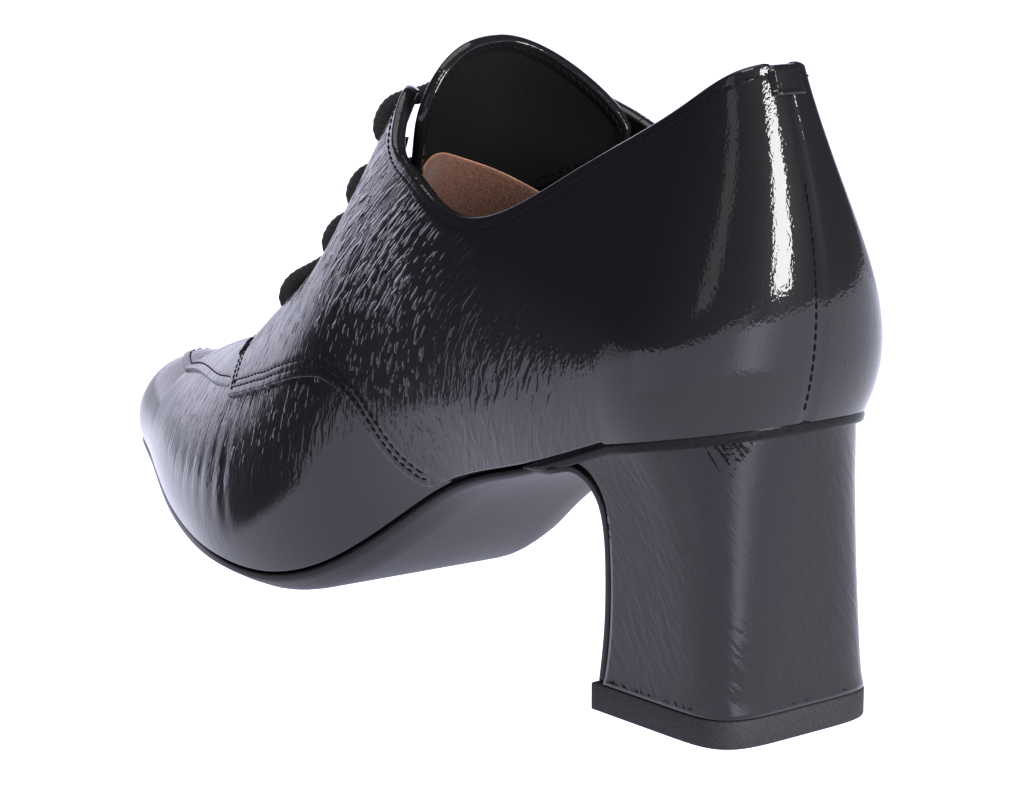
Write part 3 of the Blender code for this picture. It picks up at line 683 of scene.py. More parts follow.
def plain_finish(name, colour, roughness, grain_scale, bump_height, **inputs):
    """Leather, rubber or cloth without a coat, with a fine grain in colour and relief."""
    material, tree, shader = new_finish(name, colour, roughness, **inputs)
    noise = node(tree, "ShaderNodeTexNoise", Scale=grain_scale, Detail=4.0, Roughness=0.6)
    tree.links.new(node(tree, "ShaderNodeTexCoord").outputs["Object"], noise.inputs["Vector"])
    ramp = node(tree, "ShaderNodeValToRGB")
    for element, (position, tone) in zip(ramp.color_ramp.elements, GRAIN_TONES):
        element.position = position
        element.color = (*(share * tone for share in colour), 1.0)
    tree.links.new(noise.outputs["Fac"], ramp.inputs["Fac"])
    tree.links.new(ramp.outputs["Color"], shader.inputs["Base Color"])
    add_relief(tree, shader, noise.outputs["Fac"], bump_height)
    return material


BLACK = (0.0105, 0.0105, 0.0117)
HEEL_BLACK = (0.0050, 0.0050, 0.0056)
SOLE_GREY = (0.012, 0.0115, 0.012)
EDGE_BLACK = (0.004, 0.004, 0.0045)
LINING_BLACK = (0.0065, 0.006, 0.0065)
RUBBER_GREY = (0.024, 0.023, 0.025)
LACE_GREY = (0.033, 0.032, 0.033)
SUEDE_BROWN = (0.235, 0.112, 0.078)
RAW_BROWN = (0.38, 0.20, 0.13)
PATENT = patent_finish("patent_leather", BLACK, 0.21, 0.04, 0.028)
HEEL_PATENT = patent_finish("heel_patent", HEEL_BLACK, 0.0, 0.028, 0.02)
EDGE_PATENT = plain_finish("patent_edge", BLACK, 0.22, 900.0, 0.00006, Specular_IOR_Level=0.15)
# Weak gloss keeps the heel band black: partly the rand itself, partly painted shade for the gap between upper
# and heel
BAND_SHADE_PATENT = plain_finish("band_shade_patent", BLACK, 0.16, 900.0, 0.00004, Specular_IOR_Level=0.07)
LINING = plain_finish("black_lining", LINING_BLACK, 0.8, 2500.0, 0.00005, Specular_IOR_Level=0.2)
SUEDE = plain_finish("brown_suede", SUEDE_BROWN, 0.95, 1400.0, 0.0002, Specular_IOR_Level=0.1,
                     Sheen_Weight=0.2)
RAW_EDGE = plain_finish("raw_edge", RAW_BROWN, 0.9, 900.0, 0.0002, Specular_IOR_Level=0.1)
SOLE_FACE = plain_finish("sole_face", SOLE_GREY, 0.45, 420.0, 0.00006, Specular_IOR_Level=0.2)
SOLE_SIDE = plain_finish("sole_side", EDGE_BLACK, 0.35, 600.0, 0.00005, Specular_IOR_Level=0.25)
RUBBER = plain_finish("lift_rubber", RUBBER_GREY, 0.6, 1500.0, 0.00008, Specular_IOR_Level=0.2)
LACE_CLOTH = plain_finish("lace_cord", LACE_GREY, 0.85, 1800.0, 0.00015, Specular_IOR_Level=0.2,
                          Sheen_Weight=0.1)
THREAD = plain_finish("thread", EDGE_BLACK, 0.5, 3000.0, 0.00005, Specular_IOR_Level=0.15)


# Leather of the upper

LEAN_HEIGHTS = (50.0, 58.0, 66.0, 76.0, 90.0)
LEANS = (8.0, 14.0, 28.0, 42.0, 50.0)
LEAN_STEPS = np.linspace(0.0, 130.0, 261)
GRAIN_BEHIND = (30.0, 60.0)
SIDE_WRAP = 0.35
SIDE_DRIFT = 0.3


def grain_of(points):
    """Grain coordinates, across the wrinkles and along them. They lean back more towards the collar."""
    along, half, up = points[:, 0], np.abs(points[:, 1]), points[:, 2]
    behind = np.interp(along, GRAIN_BEHIND, (1.0, 0.0))
    slopes = np.tan(np.radians(np.interp(LEAN_STEPS, LEAN_HEIGHTS, LEANS)))
    drift = np.interp(up, LEAN_STEPS, np.cumsum(slopes) * (LEAN_STEPS[1] - LEAN_STEPS[0]))
    across = along + half * (SIDE_WRAP + (1 - SIDE_WRAP) * behind) + drift * (1 - behind)
    return np.stack([across, up + SIDE_DRIFT * half * (1 - behind)], -1)


def bump_window(value, *steps):
    """A number that goes up from 0 to 1 between the first two steps, and down between the last two."""
    return np.interp(value, steps, (0.0, 1.0, 1.0, 0.0))


VAMP_ROWS = 62
VAMP_STEP = 0.9
VAMP_BACK = 84.0
VAMP_OPEN = 158.0
VAMP_CLOSED = 170.0
UNDERLAP = 0.08
TOE_LINES = 70
SEAT = 0.1
VAMP_INSET = 0.35
# Where the vamp wrinkles: steps along it and up its wall, and how much
VAMP_CALM = 0.05
VAMP_FLEX = ((95.0, 120.0, 185.0, 215.0), (0.18, 0.40, 0.8, 1.0), 0.75)
VAMP_CORE = ((120.0, 134.0, 162.0, 180.0), (0.25, 0.45, 0.75, 0.9), 0.6)
PANEL_CRINKLE = 0.25
TONGUE_CRINKLE = 0.3
HEEL_CRINKLE = 0.3


def vamp_top(side, lap):
    """Top of the vamp's sheet: under the quarter, then along the throat to the ridge."""
    along = along_at(lap)
    if along >= VAMP_CLOSED or lap > 1:
        return 1.0
    under = quarter_rise(lap) + UNDERLAP
    share = max(0.0, (along - VAMP_OPEN) / (VAMP_CLOSED - VAMP_OPEN))
    return under + (top_rise(side, lap, VAMP_THROAT) - under) * share


def side_and_front(back, closed, step, low, high, rows):
    """A sheet over the vamp: a grid on each side behind a section, and one across from it to the toe."""
    stations = np.linspace(back, closed, int((closed - back) / step) + 1)
    points, quads, rises, start = [], [], [], 0
    for side in SIDES:
        grid, rise = wall_sheet([(side, lap_at(along)) for along in stations], low, high, rows)
        faces = grid_quads(len(stations), rows, start=start)
        quads.append(faces[:, ::-1] if side == "near" else faces)
        points.append(grid.reshape(-1, 3))
        rises.append(rise.ravel())
        start += grid.shape[0] * rows
    front = [lap_at(along) for along in np.linspace(closed, LAST, int((LAST - closed) / step) + 1)]
    laps = front + list(np.linspace(1.0, 2.0, TOE_LINES)[1:])
    near, near_rise = wall_sheet([("near", lap) for lap in laps], low, high, rows)
    far, far_rise = wall_sheet([("far", lap) for lap in laps], low, high, rows)
    across = np.concatenate([near, far[:, ::-1]], axis=1)
    quads.append(grid_quads(len(laps), 2 * rows, start=start)[:, ::-1])
    points.append(across.reshape(-1, 3))
    rises.append(np.concatenate([near_rise, far_rise[:, ::-1]], axis=1).ravel())
    points, quads, (rises,) = weld(np.concatenate(points), np.concatenate(quads), [np.concatenate(rises)])
    return points, quads, rises


def make_vamp():
    """Vamp: the front of the upper, from under the quarters to the toe."""
    points, quads, rises = side_and_front(VAMP_BACK, VAMP_CLOSED, VAMP_STEP, lambda side, lap: 0.0, vamp_top,
                                          VAMP_ROWS)
    outer = -VAMP_INSET + crease_relief(points, VAMP_CREASES)
    verts, faces, kinds, parents = wall(points, quads, outer, -UPPER_INSET - UPPER_WALL)
    crinkle = np.full(len(points), VAMP_CALM)
    for along, rise, much in (VAMP_FLEX, VAMP_CORE):
        crinkle += much * bump_window(points[:, 0], *along) * bump_window(rises, *rise)
    piece("vamp", verts, faces, [PATENT, LINING], "patent_leather", "upper", kinds, grain_of(points)[parents],
          crinkle[parents])


QUARTER_ROWS = 84
QUARTER_STEP = 1.0
BACK_LINES = 52
FRONT_STITCHES = (1.7, 3.3)
COLLAR_STITCH = 1.7
QUARTER_UNDER = (9.0, 12.0)
GROOVE_WIDTH = 0.4
FRONT_GROOVE = 0.12
COLLAR_GROOVE = 0.07
SEAM_BEHIND = 20.0
SEAM_WIDTH = 0.5
SEAM_GROOVE = 0.3
# Where the quarters wrinkle: steps along them and up from the floor, and how much
QUARTER_FRONT = (62.0, 92.0, 175.0, 190.0)
QUARTER_FOLDS = ((76.0, 96.0, 118.0, 134.0), (62.0, 74.0), 0.6)
QUARTER_LOW = ((20.0, 50.0, 120.0, 140.0), (20.0, 30.0, 60.0, 70.0), 0.25)
CALM_TOP = ((1.8, 4.0), (0.1, 1.0))
CALM_FRONT = ((4.0, 8.0), (0.3, 1.0))
TAB_REACH = 0.13
TAB_DEPTH = 0.075
TAB_SINK = 0.016
TAB_ENDS = (-1.0, TAB_REACH - 1.06, TAB_REACH - 1.01)


def quarter_spots():
    """Places round the quarters, from the near front over the back seam to the far front."""
    last = QUARTER_LINE[-1][0]
    body = [lap_at(along) for along in np.linspace(last, FIRST, int((last - FIRST) / QUARTER_STEP))]
    back = list(np.linspace(0.0, -1.0, BACK_LINES)[1:])
    near = [("near", lap) for lap in body + back]
    return near + [("far", lap) for _, lap in near[-2::-1]]


def quarter_top(side, lap):
    """Top of the quarter's sheet: the collar, let down a little under the heel tab."""
    under_tab = float(np.interp(lap, TAB_ENDS, (1.0, 1.0, 0.0)))
    return top_rise(side, lap) - TAB_SINK * under_tab


def make_quarters():
    """Quarters with folded front edge, collar and facings. Returns their skin and edges."""
    spots = quarter_spots()
    grid, _ = wall_sheet(spots, lambda side, lap: quarter_rise(lap) if lap > 0 else 0.0, quarter_top,
                         QUARTER_ROWS)
    points = grid.reshape(-1, 3)
    quads = grid_quads(len(spots), QUARTER_ROWS)
    cut = [i for i, (side, lap) in enumerate(spots) if along_at(lap) >= QUARTER_LINE[0][0] and lap > 0]
    fronts = [thicken_path(grid[[i for i in cut if spots[i][0] == side], 0]) for side in SIDES]
    tops = thicken_path(grid[:, -1])
    front_gap, _ = distance_to(points, np.concatenate(fronts))
    top_gap, _ = distance_to(points, tops)
    along, across, up = points.T
    outer = QUARTER_WALL - OVERLAY_INSET + crease_relief(points, QUARTER_CREASES)
    for at in FRONT_STITCHES:
        outer += groove(front_gap, at, GROOVE_WIDTH, FRONT_GROOVE)
    outer += groove(top_gap, COLLAR_STITCH, GROOVE_WIDTH, COLLAR_GROOVE)
    outer += (along < SEAM_BEHIND) * groove(across, 0.0, SEAM_WIDTH, SEAM_GROOVE)
    inner = -UPPER_INSET - SEAT - UPPER_WALL * np.interp(front_gap, QUARTER_UNDER, (0.0, 1.0))
    verts, faces, kinds, parents = wall(points, quads, outer, inner)
    rim = faces[2 * len(quads):, 1]
    kinds[2 * len(quads):] = np.where(front_gap[parents[rim]] < SEAT, 2, 0)
    folds_along, folds_up, folds = QUARTER_FOLDS
    front = bump_window(along, *QUARTER_FRONT)
    front *= 1 + folds * np.interp(up, folds_up, (0.0, 1.0)) * bump_window(along, *folds_along)
    low_along, low_up, low = QUARTER_LOW
    crinkle = np.maximum(front, low * bump_window(along, *low_along) * bump_window(up, *low_up))
    crinkle *= np.interp(top_gap, *CALM_TOP) * np.interp(front_gap, *CALM_FRONT)
    piece("quarters_leather", verts, faces, [PATENT, LINING, EDGE_PATENT], "patent_leather", "quarters",
          kinds, grain_of(points)[parents], crinkle[parents])
    normal = vertex_normals(points, quads)
    return {"points": points + normal * outer[:, None], "normals": normal, "fronts": fronts, "top": tops}


APRON_ROWS = 40
APRON_FROM = 163.0
APRON_STEP = 0.9
APRON_STITCH = 1.9
APRON_EDGE_STEPS = 90


def make_apron():
    """Apron on top of the vamp, with its cut edge. Returns its skin and edge."""
    points, quads, _ = side_and_front(APRON_FROM, VAMP_CLOSED, APRON_STEP, lambda side, lap: apron_rise(lap),
                                      vamp_top, APRON_ROWS)
    laps = [lap_at(along) for along in np.linspace(APRON_FROM, LAST, APRON_EDGE_STEPS)]
    laps += list(np.linspace(1.0, 2.0, TOE_LINES)[1:])
    edges = {side: np.array([last_point(side, lap, apron_rise(lap))[0] for lap in laps]) for side in SIDES}
    edge = thicken_path(np.concatenate([edges["near"], edges["far"][-2::-1]]))
    gap, _ = distance_to(points, edge)
    outer = APRON_WALL - OVERLAY_INSET + groove(gap, APRON_STITCH, GROOVE_WIDTH, FRONT_GROOVE)
    verts, faces, kinds, parents = wall(points, quads, outer, -UPPER_INSET - SEAT)
    kinds[2 * len(quads):] = 2
    piece("apron_leather", verts, faces, [PATENT, LINING, EDGE_PATENT], "patent_leather", "apron", kinds,
          grain_of(points)[parents], np.full(len(verts), PANEL_CRINKLE))
    normal = vertex_normals(points, quads)
    return {"points": points + normal * outer[:, None], "normals": normal, "edge": edge}


TAB_LINES = 40
TAB_LIP = 0.35
TAB_FOLD = 0.45
TAB_RISES = 22
TAB_FOLD_STEPS = 14
TAB_INSIDE = 7
TAB_INSIDE_STEP = 0.8
TAB_LIP_ROWS = 1.6
TAB_THINS = (0.3, 12)


def make_heel_tab():
    """Tab folded over the top of the back seam, with a rolled lower edge."""
    laps = np.linspace(TAB_REACH - 1.0, -1.0, TAB_LINES)
    spots = [("near", lap) for lap in laps] + [("far", lap) for lap in laps[-2::-1]]
    over = QUARTER_WALL - OVERLAY_INSET - SEAT
    inside = -UPPER_INSET - UPPER_WALL - 2 * SEAT
    radius = (over - inside) / 2
    lines = []
    for side, lap in spots:
        top = top_rise(side, lap)
        rise = np.linspace(top - TAB_DEPTH, top - TAB_SINK, TAB_RISES)
        path = last_point(side, lap, rise)
        up = unit(path[-1] - path[-2])
        if lap - LAP_STEP < -1.0:
            run = np.array([0.0, -SIDES[side], 0.0])
        else:
            run = last_point(side, lap - LAP_STEP, rise)[-1] - last_point(side, lap + LAP_STEP, rise)[-1]
        normal = unit(np.cross(run, up)) * SIDES[side]
        line = [point + normal * over for point in path]
        middle = path[-1] + normal * (over + inside) / 2
        for angle in np.linspace(0, math.pi, TAB_FOLD_STEPS)[1:]:
            line.append(middle + radius * (normal * math.cos(angle) + up * TAB_FOLD * math.sin(angle)))
        for _ in range(TAB_INSIDE):
            line.append(line[-1] - up * TAB_INSIDE_STEP)
        lines.append(line)
    grid = np.array(lines)
    count, rows = grid.shape[:2]
    points = grid.reshape(-1, 3)
    run = np.tile(np.arange(rows), count)
    from_end = np.repeat(np.minimum(np.arange(count), np.arange(count)[::-1]), rows)
    outer = TAB_WALL + TAB_LIP * np.exp(-((run - 1.0) / TAB_LIP_ROWS) ** 2)
    outer = outer * np.interp(from_end, (0, TAB_THINS[1]), (TAB_THINS[0], 1.0))
    verts, faces, kinds, parents = wall(points, grid_quads(count, rows), outer, 0.0)
    piece("heel_tab_leather", verts, faces, [PATENT, LINING], "patent_leather", "heel_tab", kinds,
          grain_of(points)[parents], np.full(len(verts), PANEL_CRINKLE))


# Tongue and insole

TONGUE_LINES = 97
TONGUE_LEVELS = 150
BINDING = 2.4
TONGUE_STITCH = 1.3
BINDING_SOFT = 0.5
BINDING_OUT = 0.2
BINDING_IN = 0.3
TONGUE_GROOVE = (0.35, 0.15)
LEVEL_STEP = 0.01
TONGUE_SIZE = {name: smooth_curve(np.linspace(0, 1, len(TONGUE)), column(TONGUE, TONGUE_COLUMNS, name))
               for name in TONGUE_COLUMNS}


def tongue_points(level, across):
    """A point of the tongue's front face. Level 0 is under the vamp, 1 the top; across runs from -1 to 1."""
    points = []
    for u in level:
        size = {name: curve(u) for name, curve in TONGUE_SIZE.items()}
        rise = [TONGUE_SIZE[name](u + LEVEL_STEP) - size[name] for name in ("along", "height")]
        ahead = unit(np.array(rise))
        fall = size["near_fall" if across > 0 else "far_fall"] * across * across
        points.append((size["along"] - ahead[1] * fall, size["shift"] + size["half"] * across,
                       size["height"] + ahead[0] * fall))
    return np.array(points)


def tongue_top(across):
    """Highest level of the tongue at a place across it."""
    cut, power = TONGUE_NEAR_CORNER if across > 0 else TONGUE_FAR_CORNER
    return 1 - cut * (1 - math.sqrt(max(0.0, 1 - abs(across) ** power)))


def tongue_sheet(across, low, high, levels):
    """Grid over a stretch of the tongue."""
    return np.array([tongue_points(np.linspace(low(v), high(v), levels), v) for v in across])


def make_tongue():
    """Tongue with a patent front, a black lining and a bound edge. Returns its inner skin and edge."""
    across = np.sin(np.linspace(-1, 1, TONGUE_LINES) * math.pi / 2)[::-1]
    grid = tongue_sheet(across, lambda v: 0.0, tongue_top, TONGUE_LEVELS)
    points = grid.reshape(-1, 3)
    quads = grid_quads(TONGUE_LINES, TONGUE_LEVELS)[:, ::-1]
    edge = thicken_path(np.concatenate([grid[0], grid[1:-1, -1], grid[-1, ::-1]]))
    gap, _ = distance_to(points, edge)
    bound = np.clip((BINDING - gap) / BINDING_SOFT, 0.0, 1.0)
    inner = -TONGUE_WALL - BINDING_IN * bound - groove(gap, TONGUE_STITCH, *TONGUE_GROOVE)
    verts, faces, kinds, parents = wall(points, quads, BINDING_OUT * bound, inner)
    edge_face = gap[parents][faces].mean(axis=1) < BINDING
    kinds = np.where((kinds == 1) & edge_face, 0, kinds)
    piece("tongue_leather", verts, faces, [PATENT, LINING], "tongue_leather", "tongue", kinds,
          grain_of(points)[parents], np.full(len(verts), TONGUE_CRINKLE))
    normal = vertex_normals(points, quads)
    return {"points": points + normal * inner[:, None], "normals": -normal, "edge": edge}


PAD_TOP_COLUMNS = ("across", "level")
PAD_TOP = ((-1.12, 0.659), (-0.6, 0.656), (-0.16, 0.661), (0.21, 0.679), (0.69, 0.704), (0.94, 0.712))
PAD_WALL = 0.5
PAD_GAP = 0.25
PAD_BULGE = 0.5
PAD_FOOT = 0.05
PAD_LINES = 60
PAD_LEVELS = 70


def make_tongue_pad():
    """Brown suede on the lower part of the tongue's inner face, with a raw cut edge."""
    top = smooth_curve(column(PAD_TOP, PAD_TOP_COLUMNS, "across"), column(PAD_TOP, PAD_TOP_COLUMNS, "level"))
    across = np.linspace(PAD_TOP[-1][0], PAD_TOP[0][0], PAD_LINES)
    points = tongue_sheet(across, lambda v: PAD_FOOT, top, PAD_LEVELS).reshape(-1, 3)
    quads = grid_quads(PAD_LINES, PAD_LEVELS)[:, ::-1]
    front = -TONGUE_WALL - PAD_GAP
    verts, faces, kinds, _ = wall(points, quads, front, front - PAD_WALL, PAD_BULGE)
    kinds[:2 * len(quads)] = 0
    kinds[2 * len(quads):] = 1
    piece("tongue_pad", verts, faces, [SUEDE, RAW_EDGE], "insole_leather", kinds=kinds)


SOCK_INSET = 1.5
SOCK_ENDS = (-0.93, 1.86)
SOCK_LINES = (24, 160, 30)
SOCK_ROWS = 25


def make_insole():
    """Insole with a brown sock on its top face, black lining underneath and a dark edge."""
    laps = list(np.linspace(SOCK_ENDS[0], 0.0, SOCK_LINES[0]))
    laps += [lap_at(along) for along in np.linspace(FIRST, LAST, SOCK_LINES[1])[1:]]
    laps += list(np.linspace(1.0, SOCK_ENDS[1], SOCK_LINES[2])[1:])
    share = np.linspace(0, 1, SOCK_ROWS)[:, None]
    grid = []
    for lap in laps:
        near, far = (floor_line(side, lap, SOCK_INSET) for side in SIDES)
        grid.append(near + (far - near) * share + np.array([0, 0, GAP]))
    quads = grid_quads(len(laps), SOCK_ROWS)[:, ::-1]
    verts, faces, kinds, _ = wall(np.array(grid).reshape(-1, 3), quads, INSOLE_WALL, 0.0)
    kinds[2 * len(quads):] = 1
    piece("insole_sock", verts, faces, [SUEDE, LINING], "insole_leather", "insole", kinds)


# Sole and heel

SOLE_IN = 0.5
SOLE_LINES = (60, 170, 70)
JOIN_RUNGS = (-6, -1)
EDGE_SIDE = ((0.35, 0.0), (0.1, 0.1), (0.0, 0.35))
EDGE_DRAWN = 0.12
EDGE_FOOT = 0.3
EDGE_SHARE = 0.75
BEVEL_SHARE = 0.3
BEVEL_STEPS = (0.15, 0.35, 0.6, 0.8, 1.0)


def turned(along, across):
    """A point of the heel's own axes, turned with the heel."""
    c, s = math.cos(HEEL_TURN), math.sin(HEEL_TURN)
    return np.array([along * c - across * s, along * s + across * c])


def sole_rungs():
    """Rungs of the outsole from the toe to the waist, then down the heel's front: near, far, thickness."""
    toe, waist, flap = SOLE_LINES
    rungs = []
    laps = [lap_at(along) for along in np.linspace(LAST, WAIST_FROM, waist)[1:]]
    for lap in list(np.linspace(2.0, 1.0, toe)) + laps:
        near, far = (floor_line(side, lap, SOLE_IN) - (0, 0, GAP) for side in SIDES)
        rungs.append((near, far, float(line_at(near[0], SOLE, SOLE_COLUMNS, "thick"))))
    ends = [rungs[k][:2] for k in JOIN_RUNGS]
    for along, height, half, _, _ in BREAST:
        ends.append([np.array([*turned(along, sign * half), height]) for sign in SIDES.values()])
    route = np.array([np.concatenate(pair) for pair in ends])
    run = run_along(route)
    curves = [smooth_curve(run, route[:, k]) for k in range(6)]
    for at in np.linspace(run[1], run[-1], flap)[1:]:
        spot = np.array([curve(at) for curve in curves])
        rungs.append((spot[:3], spot[3:], FLAP_THICK))
    return rungs


def sole_section(before, rung, after):
    """Points round the sole at a rung: flat upper face, rounded edge and crowned lower face."""
    near, far, thick = rung
    run = (after[0] + after[1] - before[0] - before[1]) / 2
    down = unit(np.array([-run[2], 0.0, run[0]]))
    span = max(np.linalg.norm(far - near), 1e-6)
    inward = (far - near) / span
    bevel = min(SOLE_BEVEL, BEVEL_SHARE * span)
    edge = min(SOLE_EDGE, EDGE_SHARE * thick)
    side = [*EDGE_SIDE, (0.0, edge - EDGE_FOOT), (EDGE_DRAWN, edge)]
    for share in BEVEL_STEPS:
        side.append((bevel * share + EDGE_DRAWN, edge + (thick - edge) * math.sin(share * math.pi / 2)))
    near_side = [near + inward * i + down * d for i, d in side]
    far_side = [far - inward * i + down * d for i, d in side]
    return np.maximum(near_side + far_side[::-1], (-np.inf, -np.inf, 0.0))


def make_outsole():
    """Thin sole with a black edge and a smooth grey face, which runs on down the heel as a flap."""
    rungs = sole_rungs()
    ends = [rungs[0]] + rungs + [rungs[-1]]
    rings = [sole_section(*three) for three in zip(ends, rungs, ends[2:])]
    points, quads = capped_rings(rings)
    count = len(rings[0])
    face = np.abs(np.arange(count) - (count // 2 - 1)) <= len(BEVEL_STEPS)
    kinds = np.ones(len(quads), int)
    kinds[:count * (len(rings) - 1)] = np.repeat(np.where(face, 0, 1), len(rings) - 1)
    piece("outsole_leather", points, quads, [SOLE_FACE, SOLE_SIDE], "outsole", "outsole", kinds)


HEEL_TURNS = tuple(np.linspace(0.0, 1.0, 34))
HEEL_SIDE_STEPS = 16
HEEL_LEVELS = 90
HEEL_FLARE = 0.02
HEEL_FLARE_HEIGHT = 1.6
HEEL_BAND = 2.8
BAND_OUT = 0.6
BAND_FROM = 57.0
BAND_THINS = 18
BAND_LINES = 40
BAND_STEPS = 9
BAND_LOWER = 0.45
BAND_SEAT = 0.1
BAND_WALL = 0.4
HEEL_ROUND = 22.0
HEEL_GRAIN = (0.8, 0.6)
LIFT_SOFT = 0.35
LIFT_SOFTER = 0.1


def heel_top_outline():
    """Outline of the heel's top face, from the near front corner round the back to the far front corner."""
    front = lap_at(HEEL_TIP)
    sides = {}
    for side in SIDES:
        laps = list(np.linspace(front, 0.0, HEEL_SIDE_STEPS + 1)[:-1]) + [-turn for turn in HEEL_TURNS]
        sides[side] = [floor_line(side, lap, -HEEL_RIM) - (0, 0, GAP) for lap in laps]
    return sides["near"] + sides["far"][-2::-1]


def lift_outline(grow, front):
    """Squared outline with round rear corners, in the same order of points as the heel's top."""
    half = LIFT_WIDTH / 2 + grow
    middle = LIFT_BACK + LIFT_ROUND
    sides = {}
    for side, sign in SIDES.items():
        straight = np.linspace(front, middle, HEEL_SIDE_STEPS + 1)[:-1]
        line = [turned(along, LIFT_SHIFT + sign * half) for along in straight]
        for turn in HEEL_TURNS:
            angle = turn * math.pi / 2
            back = (LIFT_ROUND + grow) * math.sin(angle) ** (2 / LIFT_POWER)
            out = half * max(0.0, math.cos(angle)) ** (2 / LIFT_POWER)
            line.append(turned(middle - back, LIFT_SHIFT + sign * out))
        sides[side] = line
    return sides["near"] + sides["far"][-2::-1]


def heel_levels():
    """Levels of the heel: front along, front height, drawn and pinch, as smooth curves down the breast."""
    along, height, drawn, pinch = (column(BREAST, BREAST_COLUMNS, name)
                                   for name in ("along", "height", "drawn", "pinch"))
    line = np.stack([along, height], -1)
    run = unit(np.gradient(line, axis=0))
    line = line + np.stack([run[:, 1], -run[:, 0]], -1) * FLAP_GAP
    at = np.arange(len(BREAST), dtype=float)
    curves = [smooth_curve(at, values) for values in (line[:, 0], line[:, 1], drawn, pinch)]
    levels = np.linspace(1.0, len(BREAST) - 1.0, HEEL_LEVELS)
    return [[float(curve(level)) for curve in curves] for level in levels]


def make_heel():
    """Block heel with a patent cover."""
    top = heel_top_outline()
    foot = LIFT_THICK + GAP
    levels = heel_levels()
    bottom = lift_outline(-HEEL_FOOT_IN, levels[-1][0])
    axis = turned(LIFT_BACK + LIFT_ROUND, LIFT_SHIFT)
    rings = [top]
    for front, height, drawn, pinch in levels:
        drop = (top[0][2] - height) / (top[0][2] - foot)
        flare = HEEL_FLARE * math.exp((foot - height) / HEEL_FLARE_HEIGHT)
        plans = [start[:2] + (end - start[:2]) * drawn for start, end in zip(top, bottom)]
        plans = [axis + (plan - axis) * (1 - pinch + flare) for plan in plans]
        ring = []
        for k, (start, plan) in enumerate(zip(top, plans)):
            forward = max(0.0, 1 - min(k, len(top) - 1 - k) / HEEL_SIDE_STEPS)
            corner_along = plans[0 if k < len(top) / 2 else -1][0]
            front_along = turned(front, 0.0)[0] - math.tan(HEEL_TURN) * plan[1]
            along = plan[0] + (front_along - corner_along) * forward
            ring.append(np.array([along, plan[1], start[2] + (foot - start[2]) * drop]))
        rings.append(ring)
    points, quads = capped_rings(rings)
    along, across, up = points.T
    around = HEEL_ROUND * np.arctan2(across, HEEL_ROUND - along)
    cosine, sine = HEEL_GRAIN
    grain = np.stack([cosine * around - sine * up, cosine * up + sine * around], -1)
    piece("heel_cover", points, quads[:, ::-1], [HEEL_PATENT], "heel_cover", "heel", None, grain,
          np.full(len(points), HEEL_CRINKLE))


def make_heel_band():
    """Glossy rand between the upper and the heel, which thins out along the waist. Its weak gloss keeps it
    black, so it is partly the rand and partly painted shade for the gap between upper and heel.
    """
    laps = list(np.linspace(lap_at(BAND_FROM), 0.0, BAND_LINES)[:-1]) + [-turn for turn in HEEL_TURNS]
    spots = [("near", lap) for lap in laps] + [("far", lap) for lap in laps[-2::-1]]
    lines = []
    for k, (side, lap) in enumerate(spots):
        from_end = min(k, len(spots) - 1 - k) + 1.5
        size = math.sin(min(1.0, from_end / BAND_THINS) * math.pi / 2)
        edge = floor_line(side, lap, -HEEL_RIM) - (0, 0, GAP)
        out = unit((edge - floor_line(side, lap, 1.0)) * (1, 1, 0))
        line = []
        for angle in np.linspace(0, math.pi, BAND_STEPS):
            up = HEEL_BAND / 2 * size * (math.cos(angle) - BAND_LOWER)
            line.append(edge + out * (BAND_OUT * size * math.sin(angle) - BAND_SEAT) + (0, 0, up))
        lines.append(line)
    points = np.array(lines).reshape(-1, 3)
    quads = grid_quads(len(lines), BAND_STEPS)[:, ::-1]
    verts, faces, _, _ = wall(points, quads, 0.0, -BAND_WALL)
    piece("heel_band", verts, faces, [BAND_SHADE_PATENT], "heel_cover")


def make_top_lift():
    """Rubber top lift with softened edges."""
    softened = ((0.0, -LIFT_SOFT), (LIFT_SOFTER, -LIFT_SOFTER), (LIFT_SOFT, 0.0))
    levels = softened + tuple((LIFT_THICK - height, grow) for height, grow in softened[::-1])
    rings = []
    for height, grow in levels:
        outline = lift_outline(LIFT_OUT + grow, LIFT_BACK + LIFT_LENGTH + grow)
        rings.append([(*point, height) for point in outline])
    piece("top_lift_rubber", *capped_rings(rings), [RUBBER], "top_lift", "top_lift")


# Lace and stitches

TUBE_SIDES = 14
LACE_REST = 0.15
LACE_BEND = 2.4
LACE_HIDDEN = 4.5
LACE_RISE = 1.2
LACE_STEPS = 110
LACE_BRAID = 0.08
BRAID_STRANDS = 3
BRAID_TURN = 0.9
FACING_RISES = np.linspace(0.45, 1, 200)
FACING_STEP = 0.01


def tube(path, radius, sides=TUBE_SIDES, braid=0.0):
    """Points and faces of a cord along a path, closed at both ends. The braid is a low diagonal relief."""
    path = np.asarray(path, float)
    count = len(path)
    run = unit(np.gradient(path, axis=0))
    side = np.cross(run[0], (0.0, 0.0, 1.0))
    angle = np.linspace(0, 2 * math.pi, sides, endpoint=False)
    rings = []
    for i, (spot, ahead) in enumerate(zip(path, run)):
        side = unit(side - ahead * (side @ ahead))
        up = np.cross(ahead, side)
        strands = [np.cos(BRAID_STRANDS * angle + turn * i) for turn in (BRAID_TURN, -BRAID_TURN)]
        size = radius * (1 + braid * strands[0] * strands[1])
        rings.append(spot + (np.cos(angle) * size)[:, None] * side + (np.sin(angle) * size)[:, None] * up)
    points = np.concatenate(rings + [path[:1], path[-1:]])
    tip = count * sides
    fan = np.array([(k, k + 1, (k + 2) % sides) for k in range(0, sides, 2)])
    first = np.column_stack([fan[:, ::-1], np.full(len(fan), tip)])
    last = np.column_stack([fan + tip - sides, np.full(len(fan), tip + 1)])
    return points, np.concatenate([ring_quads(count, sides), first, last])


